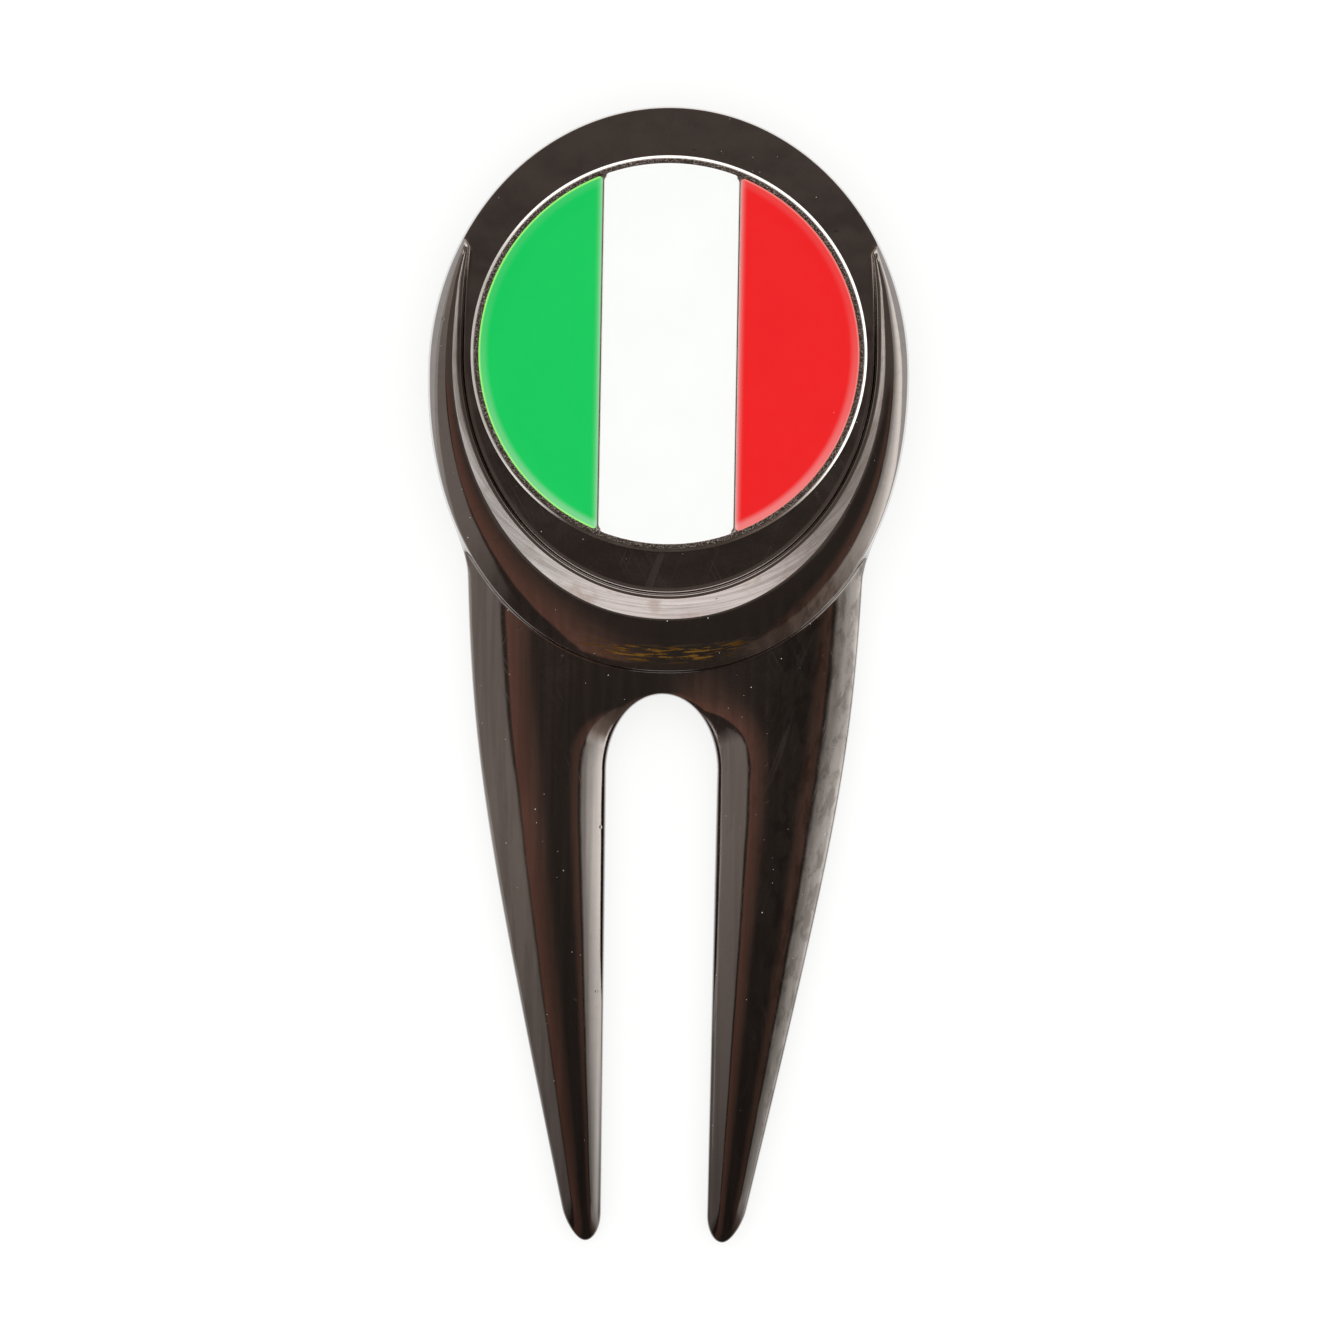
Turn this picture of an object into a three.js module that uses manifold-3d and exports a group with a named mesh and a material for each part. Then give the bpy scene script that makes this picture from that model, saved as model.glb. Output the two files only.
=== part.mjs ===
// A two-prong divot repair tool with a magnetic ball marker, lying on its flat back.
// Millimetres. +Z points out of the face, +Y towards the head, +X to the right.
// The shapes are drawn about the marker's centre; the last section moves that centre so that
// the origin lies under the middle of the whole tool.
import * as THREE from "three";
import { mergeVertices } from "three/addons/utils/BufferGeometryUtils.js";
import Module from "manifold-3d";

const { lerp, clamp, smoothstep, degToRad } = THREE.MathUtils;

// ---------------------------------------------------------------- driving dimensions

// The head's outline is half an ellipse above its widest line and half a superellipse below it.
const HEAD = { halfWidth: 15.23, widestY: -1.27, up: 17.0, down: 18.9, squareness: 2.15 };

// The fork's outer edge is a hyperbola: nearly upright at the shoulder, a straight taper lower down.
const FORK = { shoulderY: -12.7, kneeY: -23.5, kneeLength: 11, kneeHalfWidth: 13.079, taper: 0.23 };
const SHOULDER_BLEND = 0.9; // difference in half-width over which head and fork flow together

// The slot between the prongs: an elliptical arch over two nearly parallel edges.
const SLOT = { archTopY: -21.5, archRise: 4.8, halfWidth: 3.5, tipHalfWidth: 3.34 };
const TIP = { x: 4.33, y: -56.1, outerRound: 2.1, innerRound: 1.8 };

// Over the last stretch of each prong the top drops by most of its height above the parting line.
const NOSE = { length: 3.2, drop: 0.72, power: 2.2 };

// Levels of the casting above its flat back.
const PARTING_Z = 0.9;
const FACE_Z = 2.8;
const WEB_Z = 3.05;
const PRONG_TIP_Z = 1.95;

// Edges of the casting: widths seen from above.
const HEAD_FLANK = 0.16;
const FORK_FLANK = 0.05;
const STEP_FOOT = 0.06; // inset of the fork's surface where it meets the head's outline
const BACK_ROUND = { head: 0.8, tip: 0.42 };

// The dome across each prong falls away on both sides of a crest, less so towards the arch's top.
const DOME = {
  crest: 0.55,
  widest: 5.3,
  fallPerWidth: 0.36,
  deepest: 1.5,
  power: 2.2,
  archFrom: 0.3, // share of the arch's height above which the fall towards the slot fades
  atArchTop: 0.3, // what is left of it there
};

// The cradle: a crescent ridge round the lower part of the head, with arms that end at the sides.
// From the face a short wall rises to a level ledge, then a bevel climbs to the crest, and from
// there a hollow slope falls to the head's outer edge.
const CRADLE = {
  footHalfWidth: 12.95, // half-width of its inner foot at the marker's centre line
  footDown: 15.04, // lower semi-axis of the inner foot
  armsUp: 33.4, // upper semi-axis, so long that the arms are almost parallel
  wallRise: 0.75,
  wallWidth: 0.4, // of wall and ledge together
  wallShare: 0.3, // most of the ridge's width that wall and ledge take
  wallFoot: 0.1, // where the wall starts and ends, as shares of wallWidth
  wallTop: 0.4,
  bevelShare: 0.257, // share of the ridge's width that the bevel takes at its widest
  bevelMost: 0.4, // and the most it takes anywhere
  bevelFade: 0.65,
  bevelAngle: degToRad(30), // at the bottom, where the crescent is widest
  armBevelAngle: degToRad(44), // along the narrow arms
  armShare: 0.35, // share of the greatest width below which it counts as an arm
  bottomShare: 0.75,
  edgeRise: 0.5, // how much higher its outer edge is at the bottom than at the sides
  edgePower: 1.5,
  slopePower: 2.2,
  leastWidth: 0.12, // that its rings keep where it has ended
  leastFall: 0.02, // from the crest to the outer edge
};

// Each arm ends in a rounded corner; its wall is lower and its bevel fades before it gets there.
const ARM = {
  endAngle: degToRad(28.4),
  round: 0.45,
  bevelFrom: 0.5, // distances from the arm's end
  bevelFull: 1.0,
  wallAtNarrow: 0.45, // share of the wall's rise where the ridge is narrowest
  wallGain: 1.5, // and how fast the share grows with the ridge's width
};

const POCKET = { radius: 5.15, depth: 1.7 };
const MAGNET = { radius: 5, thickness: 1.5 };
const ADHESIVE = { radius: 5, thickness: 0.1 };

const MARKER = {
  radius: 12.5,
  thickness: 1.5,
  bevelWidth: 0.2,
  bevelDrop: 0.175,
  backChamfer: 0.15,
  bandRadius: 12,
};
const ENAMEL = { recess: 0.35, thickness: 0.2 };
const RIB = { x: 4.3, width: 0.12 };
const FIELD_CORNER = { side: 0.2, middle: 0.45 };

// Facets.
const CORNER_STEPS = 4;
const HEAD_STEPS = { side: 18, armEnd: 10, top: 14 };
const ARM_END_ANGLES = { before: degToRad(6), after: degToRad(0.5) }; // where the closest steps lie
const FORK_COLUMNS = 10;
const SLOPE_STEPS = 5;
const ROWS = { web: 3, arch: 8, prong: 14, tip: 8 };
const COIN_STEPS = 96;

// ---------------------------------------------------------------- outline of the casting

function forkHalfWidth(y) {
  const below = FORK.kneeY - y;
  return FORK.kneeHalfWidth - (FORK.taper / 2) * (below + Math.hypot(below, FORK.kneeLength));
}

function headHalfWidth(y) {
  const drop = Math.max(0, (HEAD.widestY - y) / HEAD.down);
  return HEAD.halfWidth * Math.max(0, 1 - drop ** HEAD.squareness) ** (1 / HEAD.squareness);
}

// A point of the head's own outline, right half; the angle runs from -90 degrees at the bottom.
function headPoint(angle) {
  const power = angle < 0 ? 2 / HEAD.squareness : 1;
  const reach = angle < 0 ? -HEAD.down : HEAD.up;
  return new THREE.Vector2(
    HEAD.halfWidth * Math.max(Math.cos(angle), 0) ** power,
    HEAD.widestY + reach * Math.abs(Math.sin(angle)) ** power,
  );
}

// The angle at which the head's outline reaches the shoulder.
function shoulderAngle() {
  const drop = (HEAD.widestY - FORK.shoulderY) / HEAD.down;
  return -Math.asin(drop ** (HEAD.squareness / 2));
}

// How far the shoulder's hollow corner is filled, where head and fork differ by a small gap.
function shoulderFill(gap) {
  return Math.max(0, SHOULDER_BLEND - gap) ** 2 / (4 * SHOULDER_BLEND);
}

function blendedHeadPoint(angle) {
  const point = headPoint(angle);
  const fork = forkHalfWidth(point.y);
  if (angle < 0) point.x = Math.max(point.x, fork) + shoulderFill(Math.abs(point.x - fork));
  return point;
}

// From the shoulder up to the head's top, close together round the end of the cradle's arm.
function headAngles() {
  const { before, after } = ARM_END_ANGLES;
  const stops = [shoulderAngle(), ARM.endAngle - before, ARM.endAngle + after, Math.PI / 2];
  const steps = [HEAD_STEPS.side, HEAD_STEPS.armEnd, HEAD_STEPS.top];
  return steps.flatMap((count, run) =>
    Array.from({ length: count }, (_, i) => lerp(stops[run], stops[run + 1], (i + 1) / count)));
}

const LAST_ROW = ROWS.web + ROWS.arch + ROWS.prong + ROWS.tip;
const ARCH_END = ROWS.web + ROWS.arch;
const TIP_START = ARCH_END + ROWS.prong;
const ARCH_CENTRE_Y = SLOT.archTopY - SLOT.archRise;
const OUTER_AT_ARCH_END_Y = -25;

// The fork's outer edge at each row of its surface, from the shoulder to the tip.
function outerPoint(row) {
  const roundY = TIP.y + TIP.outerRound;
  if (row <= ARCH_END) {
    const y = lerp(FORK.shoulderY, OUTER_AT_ARCH_END_Y, row / ARCH_END);
    const x = forkHalfWidth(y);
    return new THREE.Vector2(x + shoulderFill(x - headHalfWidth(y)), y);
  }
  if (row <= TIP_START) {
    const y = lerp(OUTER_AT_ARCH_END_Y, roundY, (row - ARCH_END) / ROWS.prong);
    return new THREE.Vector2(forkHalfWidth(y), y);
  }
  const turn = ((row - TIP_START) / ROWS.tip) * (Math.PI / 2);
  const y = roundY - TIP.outerRound * Math.sin(turn);
  return new THREE.Vector2(TIP.x + (forkHalfWidth(y) - TIP.x) * Math.cos(turn), y);
}

function slotHalfWidth(y) {
  return lerp(SLOT.halfWidth, SLOT.tipHalfWidth, (ARCH_CENTRE_Y - y) / (ARCH_CENTRE_Y - TIP.y));
}

// The fork's inner edge at each row from the top of the arch to the tip.
function innerPoint(row) {
  const roundY = TIP.y + TIP.innerRound;
  if (row <= ARCH_END) {
    const turn = ((row - ROWS.web) / ROWS.arch) * (Math.PI / 2);
    return new THREE.Vector2(
      SLOT.halfWidth * Math.sin(turn),
      ARCH_CENTRE_Y + SLOT.archRise * Math.cos(turn),
    );
  }
  if (row <= TIP_START) {
    const y = lerp(ARCH_CENTRE_Y, roundY, (row - ARCH_END) / ROWS.prong);
    return new THREE.Vector2(slotHalfWidth(y), y);
  }
  const turn = ((row - TIP_START) / ROWS.tip) * (Math.PI / 2);
  const y = roundY - TIP.innerRound * Math.sin(turn);
  return new THREE.Vector2(TIP.x - (TIP.x - slotHalfWidth(y)) * Math.cos(turn), y);
}

// The right half of the outline at the parting line, anticlockwise from the top of the arch:
// down the slot, round the tip, up the outer edge, over the shoulder and round to the head's top.
function rightOutline() {
  const points = [];
  for (let row = ROWS.web; row <= LAST_ROW; row++) points.push(innerPoint(row));
  for (let row = LAST_ROW - 1; row >= 0; row--) points.push(outerPoint(row));
  for (const angle of headAngles()) points.push(blendedHeadPoint(angle));
  return points;
}

// Moves each point of the half outline inwards, square to the outline, by its own distance.
function inset(points, distanceAt) {
  const last = points.length - 1;
  return points.map((point, i) => {
    const along = new THREE.Vector2(1, 0);
    if (i > 0 && i < last) along.subVectors(points[i + 1], points[i - 1]).normalize();
    if (i === last) along.set(-1, 0);
    const distance = distanceAt(point, i);
    return new THREE.Vector2(point.x - along.y * distance, point.y + along.x * distance);
  });
}

// ---------------------------------------------------------------- heights of the casting

// Height of the fork's upper surface: a level web with a dome down each prong and a dropped nose.
function forkTop(x, y) {
  const alongProng = Math.max(0, (ARCH_CENTRE_Y - y) / (ARCH_CENTRE_Y - TIP.y));
  const slotEdgeY = Math.min(y, ARCH_CENTRE_Y);
  const prongWidth = forkHalfWidth(slotEdgeY) - slotHalfWidth(slotEdgeY);
  const aboveArch = Math.max(0, y - ARCH_CENTRE_Y) / SLOT.archRise;
  const archRatio = Math.hypot(x / SLOT.halfWidth, aboveArch);
  const fromOuter = Math.max(0, forkHalfWidth(y) - Math.abs(x));
  const fromSlot = Math.max(0, (archRatio - 1) * SLOT.halfWidth);
  const outerReach = Math.min(DOME.widest, DOME.crest * prongWidth);
  const slotReach = (1 - DOME.crest) * prongWidth;
  const depth = Math.min(DOME.deepest, DOME.fallPerWidth * outerReach);
  const outerFall = depth * Math.max(0, 1 - fromOuter / outerReach) ** DOME.power;
  const slotDepth = depth * lerp(1, DOME.atArchTop, smoothstep(aboveArch, DOME.archFrom, 1));
  const slotFall = slotDepth * Math.max(0, 1 - fromSlot / slotReach) ** DOME.power;
  const top = lerp(WEB_Z, PRONG_TIP_Z, alongProng) - outerFall - slotFall;
  const toTip = clamp(1 - (y - TIP.y) / NOSE.length, 0, 1);
  return lerp(top, PARTING_Z, NOSE.drop * toTip ** NOSE.power);
}

// Distance of the cradle's inner foot from the marker's centre, in a given direction.
function cradleFoot(angle) {
  const reach = angle < 0 ? CRADLE.footDown : CRADLE.armsUp;
  return 1 / Math.hypot(Math.cos(angle) / CRADLE.footHalfWidth, Math.sin(angle) / reach);
}

const CRADLE_WIDEST = HEAD.down - HEAD.widestY - HEAD_FLANK - CRADLE.footDown;

// The cradle's section in one direction: distance from the marker's centre and height of each ring,
// from the crisp outer edge over the crest, down the bevel and across the ledge to the face.
function cradleSection(angle, edgeRadius) {
  const fromEnd = Math.max(0, (ARM.endAngle - angle) * edgeRadius);
  const corner = 1 - Math.min(1, fromEnd / ARM.round);
  const fullness = Math.sqrt(1 - corner ** 2);
  const width = Math.max(0, edgeRadius - cradleFoot(angle)) * fullness;
  const share = Math.min(1, width / CRADLE_WIDEST);
  const plan = Math.max(width, CRADLE.leastWidth);
  const foot = edgeRadius - plan;
  const wall = Math.min(CRADLE.wallWidth, CRADLE.wallShare * plan);
  const bevel = Math.min(CRADLE.bevelShare * width * share ** CRADLE.bevelFade, CRADLE.bevelMost * plan);
  const rise = CRADLE.wallRise * fullness * Math.min(1, ARM.wallAtNarrow + ARM.wallGain * share);
  const ledgeZ = FACE_Z + rise;
  const towardsBottom = smoothstep(share, CRADLE.armShare, CRADLE.bottomShare);
  const bevelAngle = lerp(CRADLE.armBevelAngle, CRADLE.bevelAngle, towardsBottom);
  const bevelRise = bevel * Math.tan(bevelAngle) * smoothstep(fromEnd, ARM.bevelFrom, ARM.bevelFull);
  const crestZ = ledgeZ + bevelRise;
  const edgeZ = Math.min(FACE_Z + CRADLE.edgeRise * share ** CRADLE.edgePower, ledgeZ - CRADLE.leastFall);
  const rings = [];
  for (let i = 0; i <= SLOPE_STEPS; i++) {
    const out = 1 - i / SLOPE_STEPS;
    const fall = (crestZ - edgeZ) * out ** CRADLE.slopePower;
    rings.push([lerp(foot + wall + bevel, edgeRadius, out), crestZ - fall]);
  }
  rings.push([foot + wall, ledgeZ]);
  rings.push([foot + wall * CRADLE.wallTop, ledgeZ]);
  rings.push([foot + wall * CRADLE.wallFoot, FACE_Z]);
  return rings;
}

// ---------------------------------------------------------------- surface of the casting

const MERGE_DISTANCE = 1e-4;
const rightHalf = []; // corners of the right half's triangles, three at a time

function triangle(a, b, c) {
  const flat = a.equals(b) || b.equals(c) || c.equals(a);
  if (!flat) rightHalf.push(a, b, c);
}

// Joins two lines of points. Seen from outside the casting, both run anticlockwise about the head
// and the second lies further along the way from the back, over the edge and in across the face.
function strip(from, to) {
  for (let i = 0; i + 1 < from.length; i++) {
    triangle(from[i], from[i + 1], to[i + 1]);
    triangle(from[i], to[i + 1], to[i]);
  }
}

// A corner of the surface; those that belong on the middle plane are set exactly on it.
const ON_MIDDLE = 1e-6;
const at = (point, z) => new THREE.Vector3(point.x < ON_MIDDLE ? 0 : point.x, point.y, z);

function addBack(outline) {
  const roundAt = (point) => {
    const alongProng = Math.max(0, (ARCH_CENTRE_Y - point.y) / (ARCH_CENTRE_Y - TIP.y));
    return lerp(BACK_ROUND.head, BACK_ROUND.tip, alongProng);
  };
  const lines = [];
  for (let i = 0; i <= CORNER_STEPS; i++) {
    const turn = (i / CORNER_STEPS) * (Math.PI / 2);
    const line = inset(outline, (point) => roundAt(point) * (1 - Math.cos(turn)));
    lines.push(line.map((point) => at(point, PARTING_Z * (1 - Math.sin(turn)))));
  }
  for (let i = CORNER_STEPS; i > 0; i--) strip(lines[i], lines[i - 1]);
  const rim = lines[CORNER_STEPS];
  for (const [a, b, c] of THREE.ShapeUtils.triangulateShape(rim, [])) triangle(rim[a], rim[c], rim[b]);
  return lines[0];
}

// The head inside its crisp edge: cradle, face and magnet pocket, as rings about the marker's centre.
function headRings() {
  const start = shoulderAngle();
  const angles = [];
  for (let i = 0; i < FORK_COLUMNS; i++) angles.push(lerp(-Math.PI / 2, start, i / FORK_COLUMNS));
  angles.push(start, ...headAngles());
  const columns = angles.map((angle) => {
    const edge = headPoint(angle);
    const radius = edge.length() - HEAD_FLANK;
    const direction = edge.normalize();
    const section = cradleSection(Math.atan2(direction.y, direction.x), radius);
    const floorZ = FACE_Z - POCKET.depth;
    section.push([POCKET.radius, FACE_Z], [POCKET.radius, floorZ], [0, floorZ]);
    return section.map(([r, z]) => at(direction.clone().multiplyScalar(r), z));
  });
  return columns[0].map((_, ring) => columns.map((column) => column[ring]));
}

// The rows of the fork's upper surface, each from its outer edge to its inner edge.
function forkRows(crispEdge) {
  const innerAt = (row) => crispEdge[row - ROWS.web];
  const outerAt = (row) => crispEdge[LAST_ROW - ROWS.web + (LAST_ROW - row)];
  const start = shoulderAngle();
  const topRow = [];
  for (let column = 0; column <= FORK_COLUMNS; column++) {
    const share = column / FORK_COLUMNS;
    const onOutline = headPoint(lerp(start, -Math.PI / 2, share));
    const point = onOutline.setLength(onOutline.length() - STEP_FOOT);
    topRow.push(column === 0 ? outerAt(0) : at(point, forkTop(point.x, point.y)));
  }
  const webBottom = topRow[FORK_COLUMNS];
  const rows = [topRow];
  for (let row = 1; row <= LAST_ROW; row++) {
    const outer = outerAt(row);
    const centreY = lerp(webBottom.y, innerAt(ROWS.web).y, row / ROWS.web);
    const inner = row < ROWS.web ? at({ x: 0, y: centreY }, forkTop(0, centreY)) : innerAt(row);
    const bow = (1 - Math.min(1, row / ARCH_END)) ** 2; // how much of the top row's curve is left
    rows.push(topRow.map((top, column) => {
      if (column === 0) return outer;
      if (column === FORK_COLUMNS || row === LAST_ROW) return inner;
      const share = column / FORK_COLUMNS;
      const chord = topRow[0].clone().lerp(webBottom, share);
      const point = outer.clone().lerp(inner, share).add(top.clone().sub(chord).multiplyScalar(bow));
      return at(point, forkTop(point.x, point.y));
    }));
  }
  return rows;
}

function addFace(outline, rings) {
  const forkPoints = 2 * LAST_ROW - ROWS.web + 1; // points of the outline up to the shoulder
  const crispEdge = inset(outline, () => FORK_FLANK)
    .slice(0, forkPoints)
    .map((point) => at(point, forkTop(point.x, point.y)));
  const headEdge = rings[0];
  const freeEdge = headEdge.slice(FORK_COLUMNS);
  const middle = freeEdge.map((point, i) => point.clone().lerp(outline[forkPoints - 1 + i], 0.5));
  middle[0] = crispEdge[forkPoints - 1];
  strip(outline, [...crispEdge, ...middle.slice(1)]);
  strip(middle, freeEdge);
  const rows = forkRows(crispEdge);
  strip([...rows[0]].reverse(), headEdge.slice(0, FORK_COLUMNS + 1));
  for (let row = 0; row < LAST_ROW; row++) strip([...rows[row + 1]].reverse(), [...rows[row]].reverse());
  for (let ring = 0; ring + 1 < rings.length; ring++) strip(rings[ring], rings[ring + 1]);
}

function castingGeometry() {
  const outline = addBack(rightOutline());
  addFace(outline, headRings());
  const corners = [];
  for (let i = 0; i < rightHalf.length; i += 3) {
    const [a, b, c] = rightHalf.slice(i, i + 3);
    for (const p of [a, b, c]) corners.push(p.x, p.y, p.z);
    for (const p of [c, b, a]) corners.push(-p.x, p.y, p.z);
  }
  const geometry = new THREE.BufferGeometry();
  geometry.setAttribute("position", new THREE.Float32BufferAttribute(corners, 3));
  return mergeVertices(geometry, MERGE_DISTANCE);
}

// ---------------------------------------------------------------- magnet and marker

function disc(radius, thickness) {
  return new THREE.CylinderGeometry(radius, radius, thickness, COIN_STEPS)
    .rotateX(Math.PI / 2)
    .translate(0, 0, thickness / 2);
}

// The marker's blank before its recesses: a coin with a small bevel round its top.
function coinGeometry() {
  const { radius, thickness, bevelWidth, bevelDrop, backChamfer } = MARKER;
  const profile = [
    new THREE.Vector2(0, 0),
    new THREE.Vector2(radius - backChamfer, 0),
    new THREE.Vector2(radius, backChamfer),
    new THREE.Vector2(radius, thickness - bevelDrop),
    new THREE.Vector2(radius - bevelWidth, thickness),
    new THREE.Vector2(0, thickness),
  ];
  return new THREE.LatheGeometry(profile, COIN_STEPS).rotateX(Math.PI / 2);
}

function arc(centre, radius, from, to, steps) {
  return Array.from({ length: steps + 1 }, (_, i) => {
    const angle = lerp(from, to, i / steps);
    return new THREE.Vector2(Math.cos(angle), Math.sin(angle)).multiplyScalar(radius).add(centre);
  });
}

// One upright band of the marker's round field, with rounded corners, between two heights.
function bandGeometry({ left, right, corner }, low, high) {
  const radius = MARKER.bandRadius;
  const core = radius - corner; // the corners' centres lie on a circle of this radius
  const toRight = right < radius ? Math.acos((right - corner) / core) : 0;
  const toLeft = left > -radius ? Math.acos((left + corner) / core) : Math.PI;
  const rightCentre = new THREE.Vector2(Math.cos(toRight), Math.sin(toRight)).multiplyScalar(core);
  const leftCentre = new THREE.Vector2(Math.cos(toLeft), Math.sin(toLeft)).multiplyScalar(core);
  const upper = [
    ...arc(rightCentre, corner, 0, toRight, CORNER_STEPS),
    ...arc(new THREE.Vector2(), radius, toRight, toLeft, COIN_STEPS / 4),
    ...arc(leftCentre, corner, toLeft, Math.PI, CORNER_STEPS),
  ];
  const lower = upper.map((point) => new THREE.Vector2(point.x, -point.y)).reverse();
  const loop = [...upper, ...lower];
  const outline = loop.filter((point, i) => point.distanceTo(loop[(i + 1) % loop.length]) > ON_MIDDLE);
  const solid = new THREE.ExtrudeGeometry(new THREE.Shape(outline), {
    depth: high - low,
    bevelEnabled: false,
  });
  return solid.translate(0, 0, low);
}

const wasm = await Module();
wasm.setup();

function toManifold(geometry) {
  const bare = new THREE.BufferGeometry();
  const source = geometry.index ? geometry.toNonIndexed() : geometry;
  bare.setAttribute("position", source.getAttribute("position"));
  const merged = mergeVertices(bare, MERGE_DISTANCE);
  return new wasm.Manifold(new wasm.Mesh({
    numProp: 3,
    vertProperties: merged.attributes.position.array,
    triVerts: new Uint32Array(merged.index.array),
  }));
}

function fromManifold(solid) {
  const mesh = solid.getMesh();
  const geometry = new THREE.BufferGeometry();
  geometry.setAttribute("position", new THREE.BufferAttribute(mesh.vertProperties, 3));
  geometry.setIndex(new THREE.BufferAttribute(mesh.triVerts, 1));
  return geometry;
}

const BESIDE_RIB = { inner: RIB.x - RIB.width / 2, outer: RIB.x + RIB.width / 2 };
const BANDS = [
  {
    name: "enamel_green",
    left: -MARKER.bandRadius,
    right: -BESIDE_RIB.outer,
    corner: FIELD_CORNER.side,
    colour: 0x1fcf5f,
  },
  {
    name: "enamel_white",
    left: -BESIDE_RIB.inner,
    right: BESIDE_RIB.inner,
    corner: FIELD_CORNER.middle,
    colour: 0xfcfcfa,
  },
  {
    name: "enamel_red",
    left: BESIDE_RIB.outer,
    right: MARKER.bandRadius,
    corner: FIELD_CORNER.side,
    colour: 0xf02426,
  },
];

function blankGeometry() {
  const recessFloor = MARKER.thickness - ENAMEL.recess;
  const clearOfTop = MARKER.thickness + ENAMEL.recess;
  let blank = toManifold(coinGeometry());
  for (const band of BANDS) {
    blank = blank.subtract(toManifold(bandGeometry(band, recessFloor, clearOfTop)));
  }
  return fromManifold(blank);
}

// ---------------------------------------------------------------- assembly

function piece(name, geometry, color, roughness, metalness) {
  const mesh = new THREE.Mesh(geometry, new THREE.MeshStandardMaterial({ color, roughness, metalness }));
  mesh.name = name;
  geometry.computeVertexNormals();
  return mesh;
}

const tool = new THREE.Group();
const magnetFloor = FACE_Z - POCKET.depth;
const adhesive = piece("magnet_adhesive", disc(ADHESIVE.radius, ADHESIVE.thickness), 0xac7e3f, 0.4, 0);
adhesive.position.z = magnetFloor;
const magnet = piece("magnet", disc(MAGNET.radius, MAGNET.thickness), 0x9e9c9a, 0.25, 1);
magnet.position.z = magnetFloor + ADHESIVE.thickness;
tool.add(piece("tool_body", castingGeometry(), 0x898481, 0.1, 1), adhesive, magnet);

const marker = new THREE.Group();
marker.position.z = FACE_Z;
marker.add(piece("marker_blank", blankGeometry(), 0xcbc8c5, 0.2, 1));
for (const band of BANDS) {
  const low = MARKER.thickness - ENAMEL.recess;
  const enamel = bandGeometry(band, low, low + ENAMEL.thickness);
  marker.add(piece(band.name, enamel, band.colour, 0.2, 0));
}

const headTopY = HEAD.widestY + HEAD.up;
const divotTool = new THREE.Group();
divotTool.position.y = -(headTopY + TIP.y) / 2;
divotTool.add(tool, marker);

export default divotTool;
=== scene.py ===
# Looks of a two-prong divot repair tool with a magnetic ball marker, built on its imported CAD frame.
# Lengths are in millimetres about the marker's centre until a mesh is made, as in the CAD source.
import math

import bpy
import numpy as np
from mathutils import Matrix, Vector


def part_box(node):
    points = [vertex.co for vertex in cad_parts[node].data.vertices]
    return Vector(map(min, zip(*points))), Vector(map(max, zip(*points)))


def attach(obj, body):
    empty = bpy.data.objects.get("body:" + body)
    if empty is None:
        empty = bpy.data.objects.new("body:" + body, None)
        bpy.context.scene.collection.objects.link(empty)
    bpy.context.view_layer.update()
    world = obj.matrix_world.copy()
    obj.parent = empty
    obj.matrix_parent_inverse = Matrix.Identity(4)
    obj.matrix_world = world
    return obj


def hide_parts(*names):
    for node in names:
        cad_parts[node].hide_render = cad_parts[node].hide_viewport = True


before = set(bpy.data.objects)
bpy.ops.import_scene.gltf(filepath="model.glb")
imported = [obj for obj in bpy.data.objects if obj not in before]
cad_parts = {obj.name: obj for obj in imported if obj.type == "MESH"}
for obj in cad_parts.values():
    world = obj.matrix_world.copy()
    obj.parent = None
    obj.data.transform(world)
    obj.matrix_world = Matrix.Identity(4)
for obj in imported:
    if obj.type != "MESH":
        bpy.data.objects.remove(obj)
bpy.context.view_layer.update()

MM = 0.001
coin_low, coin_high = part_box("marker_blank")
magnet_low, magnet_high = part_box("magnet")
adhesive_low, adhesive_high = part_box("magnet_adhesive")
CENTRE_Y = (coin_low.y + coin_high.y) / 2 / MM  # the marker's centre in the CAD frame
FACE_Z = coin_low.z / MM

# ------------------------------------------------------------------ driving dimensions, as in the CAD

# The head's outline is half an ellipse above its widest line and half a superellipse below it.
HEAD = dict(half_width=15.23, widest_y=-1.27, up=17.0, down=18.9, squareness=2.15)

# The fork's outer edge is a hyperbola: nearly upright at the shoulder, a straight taper lower down.
FORK = dict(shoulder_y=-12.7, knee_y=-23.5, knee_length=11.0, knee_half_width=13.079, taper=0.23)
SHOULDER_BLEND = 0.9  # difference in half-width over which head and fork flow together

# The slot between the prongs: an elliptical arch over two nearly parallel edges.
SLOT = dict(arch_top_y=-21.5, arch_rise=4.8, half_width=3.5, tip_half_width=3.34)
TIP = dict(x=4.33, y=-56.1, outer_round=2.1, inner_round=1.8)

# Over the last stretch of each prong the top drops by most of its height above the parting line.
NOSE = dict(length=3.2, drop=0.72, power=2.2)

ARCH_CENTRE_Y = SLOT["arch_top_y"] - SLOT["arch_rise"]
OUTER_AT_ARCH_END_Y = -25.0

# Levels of the casting above its flat back, and widths of its edges seen from above.
PARTING_Z = 0.9
WEB_Z = 3.05
PRONG_TIP_Z = 1.95
HEAD_FLANK = 0.16
FORK_FLANK = 0.05
STEP_FOOT = 0.06  # inset of the fork's surface where it meets the head's outline
BACK_ROUND = dict(head=0.8, tip=0.42)

# The dome across each prong falls away on both sides of a crest, less so towards the arch's top.
DOME = dict(
    crest=0.55, widest=5.3, fall_per_width=0.36, deepest=1.5, power=2.2,
    arch_from=0.3, at_arch_top=0.3,
)

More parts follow.
